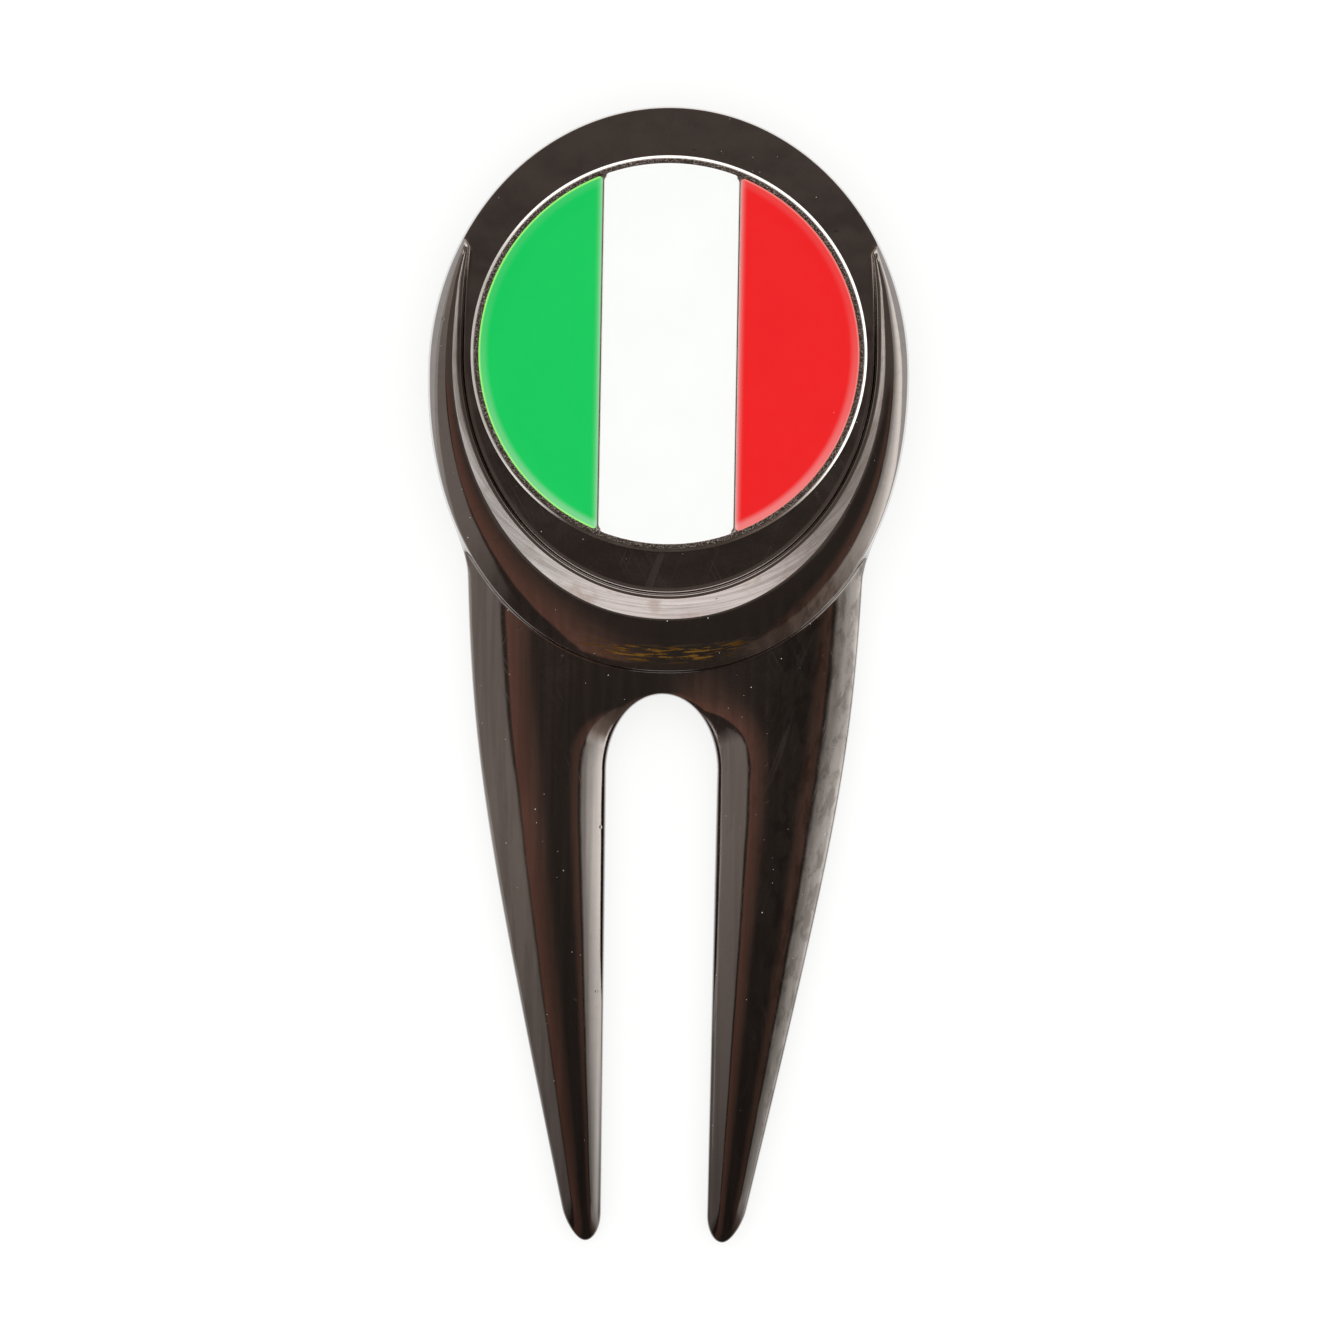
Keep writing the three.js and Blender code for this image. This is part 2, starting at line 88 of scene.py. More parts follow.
# The cradle: a crescent ridge round the lower part of the head, with arms that end at the sides.
# From the face a short wall rises to a level ledge, then a bevel climbs to the crest, and from
# there a hollow slope falls to the head's outer edge.
CRADLE = dict(
    foot_half_width=12.95, foot_down=15.04, arms_up=33.4,
    wall_rise=0.75, wall_width=0.4, wall_share=0.3, wall_foot=0.1, wall_top=0.4,
    bevel_share=0.257, bevel_most=0.4, bevel_fade=0.65,
    bevel_angle=math.radians(30), arm_bevel_angle=math.radians(44), arm_share=0.35, bottom_share=0.75,
    edge_rise=0.5, edge_power=1.5, slope_power=2.2, least_width=0.12, least_fall=0.02,
)
CRADLE_WIDEST = HEAD["down"] - HEAD["widest_y"] - HEAD_FLANK - CRADLE["foot_down"]

# Each arm ends in a rounded corner; its wall is lower and its bevel fades before it gets there.
ARM = dict(
    end_angle=math.radians(28.4), round=0.45, bevel_from=0.5, bevel_full=1.0,
    wall_at_narrow=0.45, wall_gain=1.5,
)
POCKET = dict(radius=5.15, floor_z=adhesive_low.z / MM)

# Small radii that polishing leaves on the casting's edges.
EDGE_RADIUS = 0.07
WALL_RADIUS = 0.16
MOST_OF_SIDE = 0.45  # the most of a short side that a round may use up
FACE_MARGIN = 0.3  # a ring of the face this far from the wall keeps the rest of it dead flat
STEP_FILLET = dict(reach=0.1, most_of_wall=0.45)  # where the fork's surface meets the head
FLANK_ROUND = dict(start=0.3, head_low=0.35, head_high=0.65)  # shares of the way up the flank

# Mesh fineness.
HEAD_STEPS = dict(side=110, arm_end=44, top=70)
ARM_END_ANGLES = dict(before=math.radians(6), after=math.radians(0.5))  # where the closest steps lie
FORK_COLUMNS = 30
ROWS = dict(web=8, arch=30, prong=84, tip=18)
SLOPE_STEPS = 18
CORNER_STEPS = 8
ARC_STEPS = 4
ARCH_END = ROWS["web"] + ROWS["arch"]
TIP_START = ARCH_END + ROWS["prong"]
LAST_ROW = TIP_START + ROWS["tip"]
ON_MIDDLE = 1e-7
MERGE_DISTANCE = 1e-5


def lerp(a, b, share):
    return a + (b - a) * share


def smoothstep(value, low, high):
    share = np.clip((value - low) / (high - low), 0, 1)
    return share * share * (3 - 2 * share)


# ------------------------------------------------------------------ outline and heights of the casting


def fork_half_width(y):
    below = FORK["knee_y"] - y
    return FORK["knee_half_width"] - FORK["taper"] / 2 * (below + np.hypot(below, FORK["knee_length"]))


def head_points(angles):
    """The head's own outline, right half; the angle runs from -90 degrees at the bottom."""
    below = angles < 0
    power = np.where(below, 2 / HEAD["squareness"], 1)
    reach = np.where(below, -HEAD["down"], HEAD["up"])
    x = HEAD["half_width"] * np.clip(np.cos(angles), 0, None) ** power
    y = HEAD["widest_y"] + reach * np.abs(np.sin(angles)) ** power
    return np.column_stack([x, y])


def shoulder_angle():
    drop = (HEAD["widest_y"] - FORK["shoulder_y"]) / HEAD["down"]
    return -math.asin(drop ** (HEAD["squareness"] / 2))


def shoulder_fill(gap):
    """How far the shoulder's hollow corner is filled, where head and fork differ by a small gap."""
    return np.clip(SHOULDER_BLEND - gap, 0, None) ** 2 / (4 * SHOULDER_BLEND)


def blended_head_points(angles):
    points = head_points(angles)
    fork = fork_half_width(points[:, 1])
    blended = np.maximum(points[:, 0], fork) + shoulder_fill(np.abs(points[:, 0] - fork))
    points[:, 0] = np.where(angles < 0, blended, points[:, 0])
    return points


def slot_half_width(y):
    share = (ARCH_CENTRE_Y - y) / (ARCH_CENTRE_Y - TIP["y"])
    return lerp(SLOT["half_width"], SLOT["tip_half_width"], share)


def tip_turns():
    return np.linspace(0, math.pi / 2, ROWS["tip"] + 1)[1:]


def head_half_width(y):
    drop = np.clip((HEAD["widest_y"] - y) / HEAD["down"], 0, 1)
    return HEAD["half_width"] * (1 - drop ** HEAD["squareness"]) ** (1 / HEAD["squareness"])


def outer_edge():
    """The fork's outer edge, one point a row, from the shoulder to the tip."""
    round_y = TIP["y"] + TIP["outer_round"]
    upper = np.linspace(FORK["shoulder_y"], OUTER_AT_ARCH_END_Y, ARCH_END + 1)
    lower = np.linspace(OUTER_AT_ARCH_END_Y, round_y, ROWS["prong"] + 1)[1:]
    tip = round_y - TIP["outer_round"] * np.sin(tip_turns())
    y = np.concatenate([upper, lower, tip])
    x = fork_half_width(y)
    x += shoulder_fill(x - head_half_width(y))
    x[-ROWS["tip"]:] = TIP["x"] + (x[-ROWS["tip"]:] - TIP["x"]) * np.cos(tip_turns())
    return np.column_stack([x, y])


def inner_edge():
    """The fork's inner edge, one point a row, from the top of the arch to the tip."""
    round_y = TIP["y"] + TIP["inner_round"]
    turns = np.linspace(0, math.pi / 2, ROWS["arch"] + 1)
    arch_x = SLOT["half_width"] * np.sin(turns)
    arch_y = ARCH_CENTRE_Y + SLOT["arch_rise"] * np.cos(turns)
    straight_y = np.linspace(ARCH_CENTRE_Y, round_y, ROWS["prong"] + 1)[1:]
    tip_y = round_y - TIP["inner_round"] * np.sin(tip_turns())
    tip_x = TIP["x"] - (TIP["x"] - slot_half_width(tip_y)) * np.cos(tip_turns())
    x = np.concatenate([arch_x, slot_half_width(straight_y), tip_x])
    y = np.concatenate([arch_y, straight_y, tip_y])
    return np.column_stack([x, y])


def free_head_angles():
    """From the shoulder up to the head's top, close together round the end of the cradle's arm."""
    close_from = ARM["end_angle"] - ARM_END_ANGLES["before"]
    close_to = ARM["end_angle"] + ARM_END_ANGLES["after"]
    stops = [shoulder_angle(), close_from, close_to, math.pi / 2]
    runs = zip(stops, stops[1:], (HEAD_STEPS["side"], HEAD_STEPS["arm_end"], HEAD_STEPS["top"]))
    return np.concatenate([np.linspace(start, end, steps + 1)[1:] for start, end, steps in runs])


def right_outline():
    """The right half of the parting line, anticlockwise from the top of the arch to the head's top."""
    return np.vstack([inner_edge(), outer_edge()[-2::-1], blended_head_points(free_head_angles())])


def inset(points, distance):
    """Moves each point of a half outline inwards, square to the outline."""
    along = np.zeros_like(points)
    along[1:-1] = points[2:] - points[:-2]
    along[0] = (1, 0)
    along[-1] = (-1, 0)
    along /= np.linalg.norm(along, axis=1)[:, None]
    inwards = np.column_stack([-along[:, 1], along[:, 0]])
    return points + inwards * np.reshape(distance, (-1, 1))


def fork_top(x, y):
    """Height of the fork's upper surface: a level web, a dome down each prong and a dropped nose."""
    along_prong = np.clip((ARCH_CENTRE_Y - y) / (ARCH_CENTRE_Y - TIP["y"]), 0, None)
    slot_edge_y = np.minimum(y, ARCH_CENTRE_Y)
    prong_width = fork_half_width(slot_edge_y) - slot_half_width(slot_edge_y)
    above_arch = np.clip(y - ARCH_CENTRE_Y, 0, None) / SLOT["arch_rise"]
    from_outer = np.clip(fork_half_width(y) - np.abs(x), 0, None)
    from_slot = np.clip((np.hypot(x / SLOT["half_width"], above_arch) - 1) * SLOT["half_width"], 0, None)
    outer_reach = np.minimum(DOME["widest"], DOME["crest"] * prong_width)
    slot_reach = (1 - DOME["crest"]) * prong_width
    depth = np.minimum(DOME["deepest"], DOME["fall_per_width"] * outer_reach)
    outer_fall = depth * np.clip(1 - from_outer / outer_reach, 0, None) ** DOME["power"]
    slot_depth = depth * lerp(1, DOME["at_arch_top"], smoothstep(above_arch, DOME["arch_from"], 1))
    slot_fall = slot_depth * np.clip(1 - from_slot / slot_reach, 0, None) ** DOME["power"]
    top = lerp(WEB_Z, PRONG_TIP_Z, along_prong) - outer_fall - slot_fall
    to_tip = np.clip(1 - (y - TIP["y"]) / NOSE["length"], 0, 1)
    return lerp(top, PARTING_Z, NOSE["drop"] * to_tip ** NOSE["power"])


def cradle_foot(angle):
    """Distance of the cradle's inner foot from the marker's centre, in a given direction."""
    reach = CRADLE["foot_down"] if angle < 0 else CRADLE["arms_up"]
    return 1 / math.hypot(math.cos(angle) / CRADLE["foot_half_width"], math.sin(angle) / reach)


def curve(start, corner, end, share):
    """A point, or points, of the parabola that leaves start and reaches end in the corner's directions."""
    return (1 - share) ** 2 * start + 2 * share * (1 - share) * corner + share**2 * end


def rounded(corner, before, after, radius):
    """The points of a small round that replaces a corner of a section."""
    corner = np.array(corner, float)
    ends = []
    for neighbour in (before, after):
        side = np.array(neighbour, float) - corner
        length = max(np.linalg.norm(side), ON_MIDDLE)
        ends.append(corner + side * min(radius, MOST_OF_SIDE * length) / length)
    return curve(ends[0], corner, ends[1], np.linspace(0, 1, ARC_STEPS + 1)[:, None])


def head_section(angle, edge_radius, outline_radius):
    """(radius, height) points from the crisp outer edge in to the marker's centre."""
    from_end = max(0.0, (ARM["end_angle"] - angle) * edge_radius)
    corner = 1 - min(1.0, from_end / ARM["round"])
    fullness = math.sqrt(1 - corner**2)
    width = max(0.0, edge_radius - cradle_foot(angle)) * fullness
    share = min(1.0, width / CRADLE_WIDEST)
    plan = max(width, CRADLE["least_width"])
    foot = edge_radius - plan
    wall = min(CRADLE["wall_width"], CRADLE["wall_share"] * plan)
    bevel = min(CRADLE["bevel_share"] * width * share ** CRADLE["bevel_fade"], CRADLE["bevel_most"] * plan)
    rise = CRADLE["wall_rise"] * fullness * min(1.0, ARM["wall_at_narrow"] + ARM["wall_gain"] * share)
    ledge_z = FACE_Z + rise
    towards_bottom = smoothstep(share, CRADLE["arm_share"], CRADLE["bottom_share"])
    bevel_angle = lerp(CRADLE["arm_bevel_angle"], CRADLE["bevel_angle"], towards_bottom)
    kept_bevel = smoothstep(from_end, ARM["bevel_from"], ARM["bevel_full"])
    crest_z = ledge_z + bevel * math.tan(bevel_angle) * kept_bevel
    edge_z = min(FACE_Z + CRADLE["edge_rise"] * share ** CRADLE["edge_power"], ledge_z - CRADLE["least_fall"])
    crest = foot + wall + bevel
    outs = np.linspace(1, 0, SLOPE_STEPS + 1)
    slope_r = lerp(crest, edge_radius, outs)
    slope_z = crest_z - (crest_z - edge_z) * outs ** CRADLE["slope_power"]
    slope = np.column_stack([slope_r, slope_z])
    flank_foot = (outline_radius, PARTING_Z)
    ledge = (foot + wall, ledge_z)
    wall_top = (foot + CRADLE["wall_top"] * wall, ledge_z)
    wall_foot = (foot + CRADLE["wall_foot"] * wall, FACE_Z)
    rim = (POCKET["radius"], FACE_Z)
    floor = (POCKET["radius"], POCKET["floor_z"])
    section = [
        rounded(slope[0], flank_foot, slope[1], EDGE_RADIUS),
        slope[1:-1],
        rounded(slope[-1], slope[-2], ledge, EDGE_RADIUS),
        rounded(ledge, slope[-1], wall_top, EDGE_RADIUS),
        rounded(wall_top, ledge, wall_foot, WALL_RADIUS),
        rounded(wall_foot, wall_top, rim, WALL_RADIUS),
        [(foot - FACE_MARGIN, FACE_Z)],
        [((foot + POCKET["radius"]) / 2, FACE_Z)],
        rounded(rim, wall_foot, floor, EDGE_RADIUS),
        rounded(floor, rim, (0, POCKET["floor_z"]), EDGE_RADIUS),
        [(0, POCKET["floor_z"])],
    ]
    return np.vstack(section)


# The strips of the section between the crest's round and the ledge's: the bevel.
BEVEL_START = ARC_STEPS + SLOPE_STEPS + ARC_STEPS - 1
BEVEL_RINGS = range(BEVEL_START, BEVEL_START + 2)


class Shell:
    """Collects the right half of a surface as quads, then mirrors it and joins what touches."""

    def __init__(self):
        self.quads = []
        self.materials = []

    def strip(self, outer, inner, material=0):
        """Joins two lines that run anticlockwise seen from above, the second one further in."""
        outer = np.asarray(outer)
        inner = np.asarray(inner)
        self.quads.append(np.stack([outer[:-1], outer[1:], inner[1:], inner[:-1]], axis=1))
        self.materials.append(np.full(len(outer) - 1, material))

    def mesh(self, name):
        quads = np.vstack(self.quads)
        quads[np.abs(quads[..., 0]) < ON_MIDDLE, 0] = 0
        mirrored = quads[:, ::-1].copy()
        mirrored[..., 0] *= -1
        corners = np.vstack([quads, mirrored]).reshape(-1, 3)
        materials = np.concatenate(self.materials * 2)
        cells = np.round(corners / MERGE_DISTANCE)
        _, first, index = np.unique(cells, axis=0, return_index=True, return_inverse=True)
        points = corners[first]
        faces = []
        face_materials = []
        for quad, material in zip(index.reshape(-1, 4).tolist(), materials.tolist()):
            face = [v for i, v in enumerate(quad) if v != quad[i - 1]]
            if len(set(face)) == len(face) >= 3:
                faces.append(face)
                face_materials.append(material)
        return make_mesh(name, points, faces, face_materials)


def make_mesh(name, points, faces, face_materials=None):
    """A mesh from points in millimetres about the marker's centre."""
    placed = (np.asarray(points) + (0, CENTRE_Y, 0)) * MM
    mesh = bpy.data.meshes.new(name)
    mesh.from_pydata(placed.tolist(), [], faces)
    if face_materials is not None:
        mesh.polygons.foreach_set("material_index", face_materials)
    mesh.validate()
    mesh.shade_smooth()
    return mesh


def make_piece(name, mesh, materials, body, node):
    piece = bpy.data.objects.new(name, mesh)
    bpy.context.scene.collection.objects.link(piece)
    for material in materials:
        mesh.materials.append(material)
    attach(piece, body)
    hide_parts(node)
    return piece


def even_normals(piece, sharp_angle):
    """Lets large faces set the shading, with hard creases only where the surface really turns."""
    piece.data.set_sharp_from_angle(angle=math.radians(sharp_angle))
    modifier = piece.modifiers.new("even_normals", "WEIGHTED_NORMAL")
    modifier.weight = 80  # of 100, so the larger face wins
    modifier.keep_sharp = True


def with_height(points, z):
    return np.column_stack([points, np.broadcast_to(z, len(points))])


def add_back(shell, outline):
    """The rounded underside from the parting line in to the flat back."""
    along_prong = np.clip((ARCH_CENTRE_Y - outline[:, 1]) / (ARCH_CENTRE_Y - TIP["y"]), 0, 1)
    radius = lerp(BACK_ROUND["head"], BACK_ROUND["tip"], along_prong)
    lines = []
    for turn in np.linspace(0, math.pi / 2, CORNER_STEPS + 1):
        line = inset(outline, radius * (1 - math.cos(turn)))
        lines.append(with_height(line, PARTING_Z * (1 - math.sin(turn))))
    for outer, inner in zip(lines[:0:-1], lines[-2::-1]):
        shell.strip(outer, inner)
    rim = lines[-1]
    inner_count = LAST_ROW - ROWS["web"] + 1
    slot_side = rim[:inner_count]
    outer_side = rim[inner_count - 1 : 2 * inner_count - 1][::-1]
    shell.strip(outer_side[::-1], slot_side[::-1])
    head_side = rim[2 * inner_count - 2 :]
    middle_y = np.linspace(rim[0, 1], rim[-1, 1], len(head_side))
    middle = np.column_stack([np.zeros_like(middle_y), middle_y, np.zeros_like(middle_y)])
    shell.strip(middle, head_side)
    return lines[0]


def head_rings():
    """The head inside its crisp edge: cradle, face and pocket, as rings about the marker's centre."""
    start = shoulder_angle()
    angles = np.concatenate([np.linspace(-math.pi / 2, start, FORK_COLUMNS + 1), free_head_angles()])
    columns = []
    for edge in head_points(angles):
        length = math.hypot(*edge)
        direction = edge / length
        section = head_section(math.atan2(edge[1], edge[0]), length - HEAD_FLANK, length)
        columns.append(np.column_stack([section[:, :1] * direction, section[:, 1]]))
    return np.stack(columns, axis=1)


def fork_rows(outer_line, inner_line):
    """The foot of the head's wall, and the fork's upper surface row by row, outer to inner edge."""
    start = shoulder_angle()
    on_outline = head_points(np.linspace(start, -math.pi / 2, FORK_COLUMNS + 1))
    lengths = np.linalg.norm(on_outline, axis=1)[:, None]
    foot = on_outline * (lengths - STEP_FOOT) / lengths
    foot = with_height(foot, fork_top(foot[:, 0], foot[:, 1]))
    top = on_outline * (lengths - STEP_FOOT + STEP_FILLET["reach"]) / lengths
    top = with_height(top, fork_top(top[:, 0], top[:, 1]))
    foot[0] = top[0] = outer_line[0]
    shares = np.linspace(0, 1, FORK_COLUMNS + 1)[:, None]
    chord = lerp(top[0], top[-1], shares)
    rows = [top]
    for row in range(1, LAST_ROW + 1):
        outer = outer_line[row]
        if row < ROWS["web"]:
            y = lerp(top[-1, 1], inner_line[0, 1], row / ROWS["web"])
            inner = np.array([0, y, fork_top(0, y)])
        else:
            inner = inner_line[row - ROWS["web"]]
        bow = (1 - min(1, row / ARCH_END)) ** 2  # how much of the top row's curve is left
        line = lerp(outer, inner, shares) + (top - chord) * bow
        line[:, 2] = fork_top(line[:, 0], line[:, 1])
        line[0] = outer
        line[-1] = inner
        rows.append(line)
    return foot, rows


def add_face(shell, outline):
    """Flanks, fork surface, cradle, face and magnet pocket."""
    fork_points = 2 * LAST_ROW - ROWS["web"] + 1
    rings = head_rings()
    free_edge = rings[0][FORK_COLUMNS:]
    free_outline = outline[fork_points - 1 :]
    corner = inset(outline[:, :2], FORK_FLANK)[:fork_points]
    corner = with_height(corner, fork_top(corner[:, 0], corner[:, 1]))
    beyond = inset(outline[:, :2], FORK_FLANK + EDGE_RADIUS)[:fork_points]
    beyond = with_height(beyond, fork_top(beyond[:, 0], beyond[:, 1]))
    before = lerp(corner, outline[:fork_points], FLANK_ROUND["start"])
    previous = outline
    for step in range(ARC_STEPS + 1):
        share = step / ARC_STEPS
        on_fork = curve(before, corner, beyond, share)
        up_flank = lerp(FLANK_ROUND["head_low"], FLANK_ROUND["head_high"], share)
        on_head = lerp(free_outline, free_edge, up_flank)
        line = np.vstack([on_fork, on_head[1:]])
        shell.strip(previous, line)
        previous = line
    shell.strip(previous[fork_points - 1 :], free_edge)
    inner_count = LAST_ROW - ROWS["web"] + 1
    foot, rows = fork_rows(previous[:fork_points][: inner_count - 2 : -1], previous[:inner_count])
    wall_top = rings[0][: FORK_COLUMNS + 1][::-1]
    rise = np.linalg.norm(wall_top - foot, axis=1)[:, None]
    up = np.minimum(STEP_FILLET["reach"] / rise, STEP_FILLET["most_of_wall"])
    fillet_top = lerp(foot, wall_top, up)
    shares = np.linspace(0, 1, 2 * ARC_STEPS + 1)
    wall = [curve(rows[0], foot, fillet_top, share) for share in shares]
    wall += [lerp(fillet_top, wall_top, 0.5), wall_top]
    for outer, inner in zip(wall, wall[1:]):
        shell.strip(outer[::-1], inner[::-1])
    for upper, lower in zip(rows, rows[1:]):
        shell.strip(lower[::-1], upper[::-1])
    for ring, (outer, inner) in enumerate(zip(rings, rings[1:])):
        shell.strip(outer, inner, 1 if ring in BEVEL_RINGS else 0)


def casting_mesh():
    shell = Shell()
    outline = add_back(shell, right_outline())
    add_face(shell, outline)
    return shell.mesh("tool_casting")


# ------------------------------------------------------------------ node helpers


def new_material(name):
    material = bpy.data.materials.new(name)
    material.use_nodes = True
    tree = material.node_tree
    return material, tree, tree.nodes["Principled BSDF"]


def feed(tree, node, inputs):
    """Gives each input of a node its value, or links the socket that feeds it."""
    for name, value in inputs.items():
        if isinstance(value, bpy.types.NodeSocket):
            tree.links.new(value, node.inputs[name])
        else:
            node.inputs[name].default_value = value


def add(tree, kind, inputs=None, **properties):
    node = tree.nodes.new(kind)
    for name, value in properties.items():
        setattr(node, name, value)
    feed(tree, node, inputs or {})
    return node


def calculate(tree, operation, *values):
    inputs = dict(enumerate(values))
    return add(tree, "ShaderNodeMath", inputs, operation=operation).outputs[0]


def product(tree, first, *others):
    for other in others:
        first = calculate(tree, "MULTIPLY", first, other)
    return first


def away_from(tree, value, centre):
    return calculate(tree, "ABSOLUTE", calculate(tree, "SUBTRACT", value, centre))


def mapped(tree, value, low, high, to_low=0.0, to_high=1.0, smooth=False):
    kind = "SMOOTHSTEP" if smooth else "LINEAR"
    inputs = {"Value": value, "From Min": low, "From Max": high, "To Min": to_low, "To Max": to_high}
    return add(tree, "ShaderNodeMapRange", inputs, interpolation_type=kind).outputs["Result"]


def between(tree, share, a, b):
    """A number between two others. A mix node's number sockets are 0, 2 and 3."""
    return add(tree, "ShaderNodeMix", {0: share, 2: a, 3: b}).outputs[0]


def mixed(tree, share, a, b):
    """A colour between two others. A mix node's colour sockets are 0, 6 and 7."""
    return add(tree, "ShaderNodeMix", {0: share, 6: a, 7: b}, data_type="RGBA").outputs[2]


def scaled(tree, colour, factor):
    inputs = {0: colour, "Scale": factor}
    return add(tree, "ShaderNodeVectorMath", inputs, operation="SCALE").outputs["Vector"]


def noise(tree, where, size_mm, detail=2.0, roughness=0.5, distortion=0.0):
    """Noise whose features are about size_mm across."""
    inputs = {
        "Vector": where, "Scale": 1 / (size_mm * MM),
        "Detail": detail, "Roughness": roughness, "Distortion": distortion,
    }
    return add(tree, "ShaderNodeTexNoise", inputs).outputs["Fac"]


def bumped(tree, height, depth_mm, normal=None):
    inputs = {"Height": height, "Strength": 1.0, "Distance": depth_mm * MM}
    if normal is not None:
        inputs["Normal"] = normal
    return add(tree, "ShaderNodeBump", inputs).outputs["Normal"]


def stretched(tree, where, squeeze, turn=0.0):
    """The same place in a frame turned about +Z and then squeezed, for scratches and brush marks."""
    scale = tuple(1 / share for share in squeeze)
    inputs = {"Vector": where, "Rotation": (0, 0, turn), "Scale": scale}
    return add(tree, "ShaderNodeMapping", inputs, vector_type="TEXTURE").outputs["Vector"]


def scratches(tree, where, turn, spacing_mm):
    """Sparse hairlines: the crests of a noise drawn out along one direction."""
    lines = noise(tree, stretched(tree, where, (1, 0.015, 1), turn), spacing_mm, detail=1.0)
    hair = mapped(tree, away_from(tree, lines, 0.5), 0.0, 0.012, 1.0, 0.0)
    patches = mapped(tree, noise(tree, where, 5 * spacing_mm), 0.54, 0.62)
    return product(tree, hair, patches)


def specks(tree, where, spacing_mm, radius_share, kept):
    """Small round specks scattered about spacing_mm apart, of which a share is kept."""
    cell = add(tree, "ShaderNodeTexVoronoi", {"Vector": where, "Scale": 1 / (spacing_mm * MM)})
    dot = mapped(tree, cell.outputs["Distance"], radius_share * 0.6, radius_share, 1.0, 0.0)
    red = add(tree, "ShaderNodeSeparateColor", {"Color": cell.outputs["Color"]}).outputs["Red"]
    return product(tree, dot, calculate(tree, "LESS_THAN", red, kept))


def object_place(tree):
    return add(tree, "ShaderNodeTexCoord").outputs["Object"]


def axes(tree, where):
    parts = add(tree, "ShaderNodeSeparateXYZ", {"Vector": where})
    return [parts.outputs[axis] for axis in "XYZ"]


ARC_RADIUS = 18  # near the cradle's bevel, where an angle is turned into a length


def round_marker(tree, where):
    """The place as (arc length, radius) about the marker's axis, then its angle and radius."""
    x, y = axes(tree, where)[:2]
    y = calculate(tree, "SUBTRACT", y, CENTRE_Y * MM)
    angle = calculate(tree, "ARCTAN2", y, x)
    radius = calculate(tree, "SQRT", calculate(tree, "MULTIPLY_ADD", x, x, product(tree, y, y)))
    arc_length = product(tree, angle, ARC_RADIUS * MM)
    polar = add(tree, "ShaderNodeCombineXYZ", {"X": arc_length, "Y": radius}).outputs["Vector"]
    return polar, angle, radius


# ------------------------------------------------------------------ casting's materials

PLATING_DARK = (0.235, 0.215, 0.206, 1)
PLATING_LIGHT = (0.285, 0.262, 0.25, 1)
PLATING_OLIVE = (0.225, 0.2, 0.175, 1)
PLATING_WORN = (0.18, 0.163, 0.152, 1)
TARNISH = (0.15, 0.075, 0.014, 1)
DUST = (0.62, 0.6, 0.57, 1)

# The tarnish fades between a core and a half-width about its arc, in millimetres and in degrees.
TARNISH_BAND = dict(radius=18.95, core=0.3, half_width=0.6, core_angle=8, half_angle=19)


def tarnish_streaks(tree, where):
    """Amber streaks that follow the arc low on the cradle's outer slope."""
    band = TARNISH_BAND
    polar, angle, radius = round_marker(tree, where)
    drawn_out = noise(tree, stretched(tree, polar, (0.12, 1, 1)), 0.14, detail=4.0)
    streaks = mapped(tree, drawn_out, 0.5, 0.6)
    from_arc = away_from(tree, radius, band["radius"] * MM)
    in_band = mapped(tree, from_arc, band["half_width"] * MM, band["core"] * MM)
    from_bottom = away_from(tree, angle, -math.pi / 2)
    outer, inner = math.radians(band["half_angle"]), math.radians(band["core_angle"])
    near_bottom = mapped(tree, from_bottom, outer, inner)
    height = axes(tree, where)[2]
    on_top = mapped(tree, height, PARTING_Z * MM, 2 * PARTING_Z * MM)
    return product(tree, streaks, product(tree, in_band, near_bottom, on_top))


def plating_colour_with_painted_shade(tree, where, on_fork, fork_right_side):
    """Blotches on the head, streaks along the prongs, worn patches on the fork's right side, which is
    a little darker all over; painted shade darkens the prongs towards the tips."""
    blotches = noise(tree, where, 0.9, detail=4.0, roughness=0.65, distortion=0.6)
    lengthways = stretched(tree, where, (1, 0.06, 1))
    streaks = noise(tree, lengthways, 0.3, detail=3.0, roughness=0.55, distortion=0.4)
    aslant = stretched(tree, where, (1, 0.4, 1), -0.2)
    patches = noise(tree, aslant, 0.7, detail=5.0, roughness=0.65, distortion=0.3)
    streaked = calculate(tree, "MULTIPLY_ADD", streaks, 0.45, product(tree, blotches, 0.55))
    mottle = between(tree, on_fork, blotches, streaked)
    mottle = between(tree, fork_right_side, mottle, patches)
    tint = mixed(tree, mapped(tree, mottle, 0.3, 0.7), PLATING_DARK, PLATING_LIGHT)
    tint = mixed(tree, mapped(tree, blotches, 0.5, 0.75, 0.0, 0.6), tint, PLATING_OLIVE)
    worn = product(tree, fork_right_side, mapped(tree, patches, 0.5, 0.4))
    tint = mixed(tree, worn, tint, PLATING_WORN)

    # Painted shade: the colour falls to about half towards the prongs' tips. The fork's right side is made 15
    # percent darker all over as well.
    y = axes(tree, where)[1]
    to_tip = mapped(tree, y, (CENTRE_Y - 30) * MM, (CENTRE_Y - 52) * MM, 1.0, 0.52)
    shade = product(tree, to_tip, calculate(tree, "MULTIPLY_ADD", fork_right_side, -0.15, 1.0))
    drawn = noise(tree, stretched(tree, where, (1, 0.02, 1)), 0.5, detail=2.0)
    drawn = product(tree, on_fork, mapped(tree, drawn, 0.4, 0.6, -0.1, 0.08))
    return scaled(tree, tint, product(tree, shade, calculate(tree, "ADD", drawn, 1.0)))


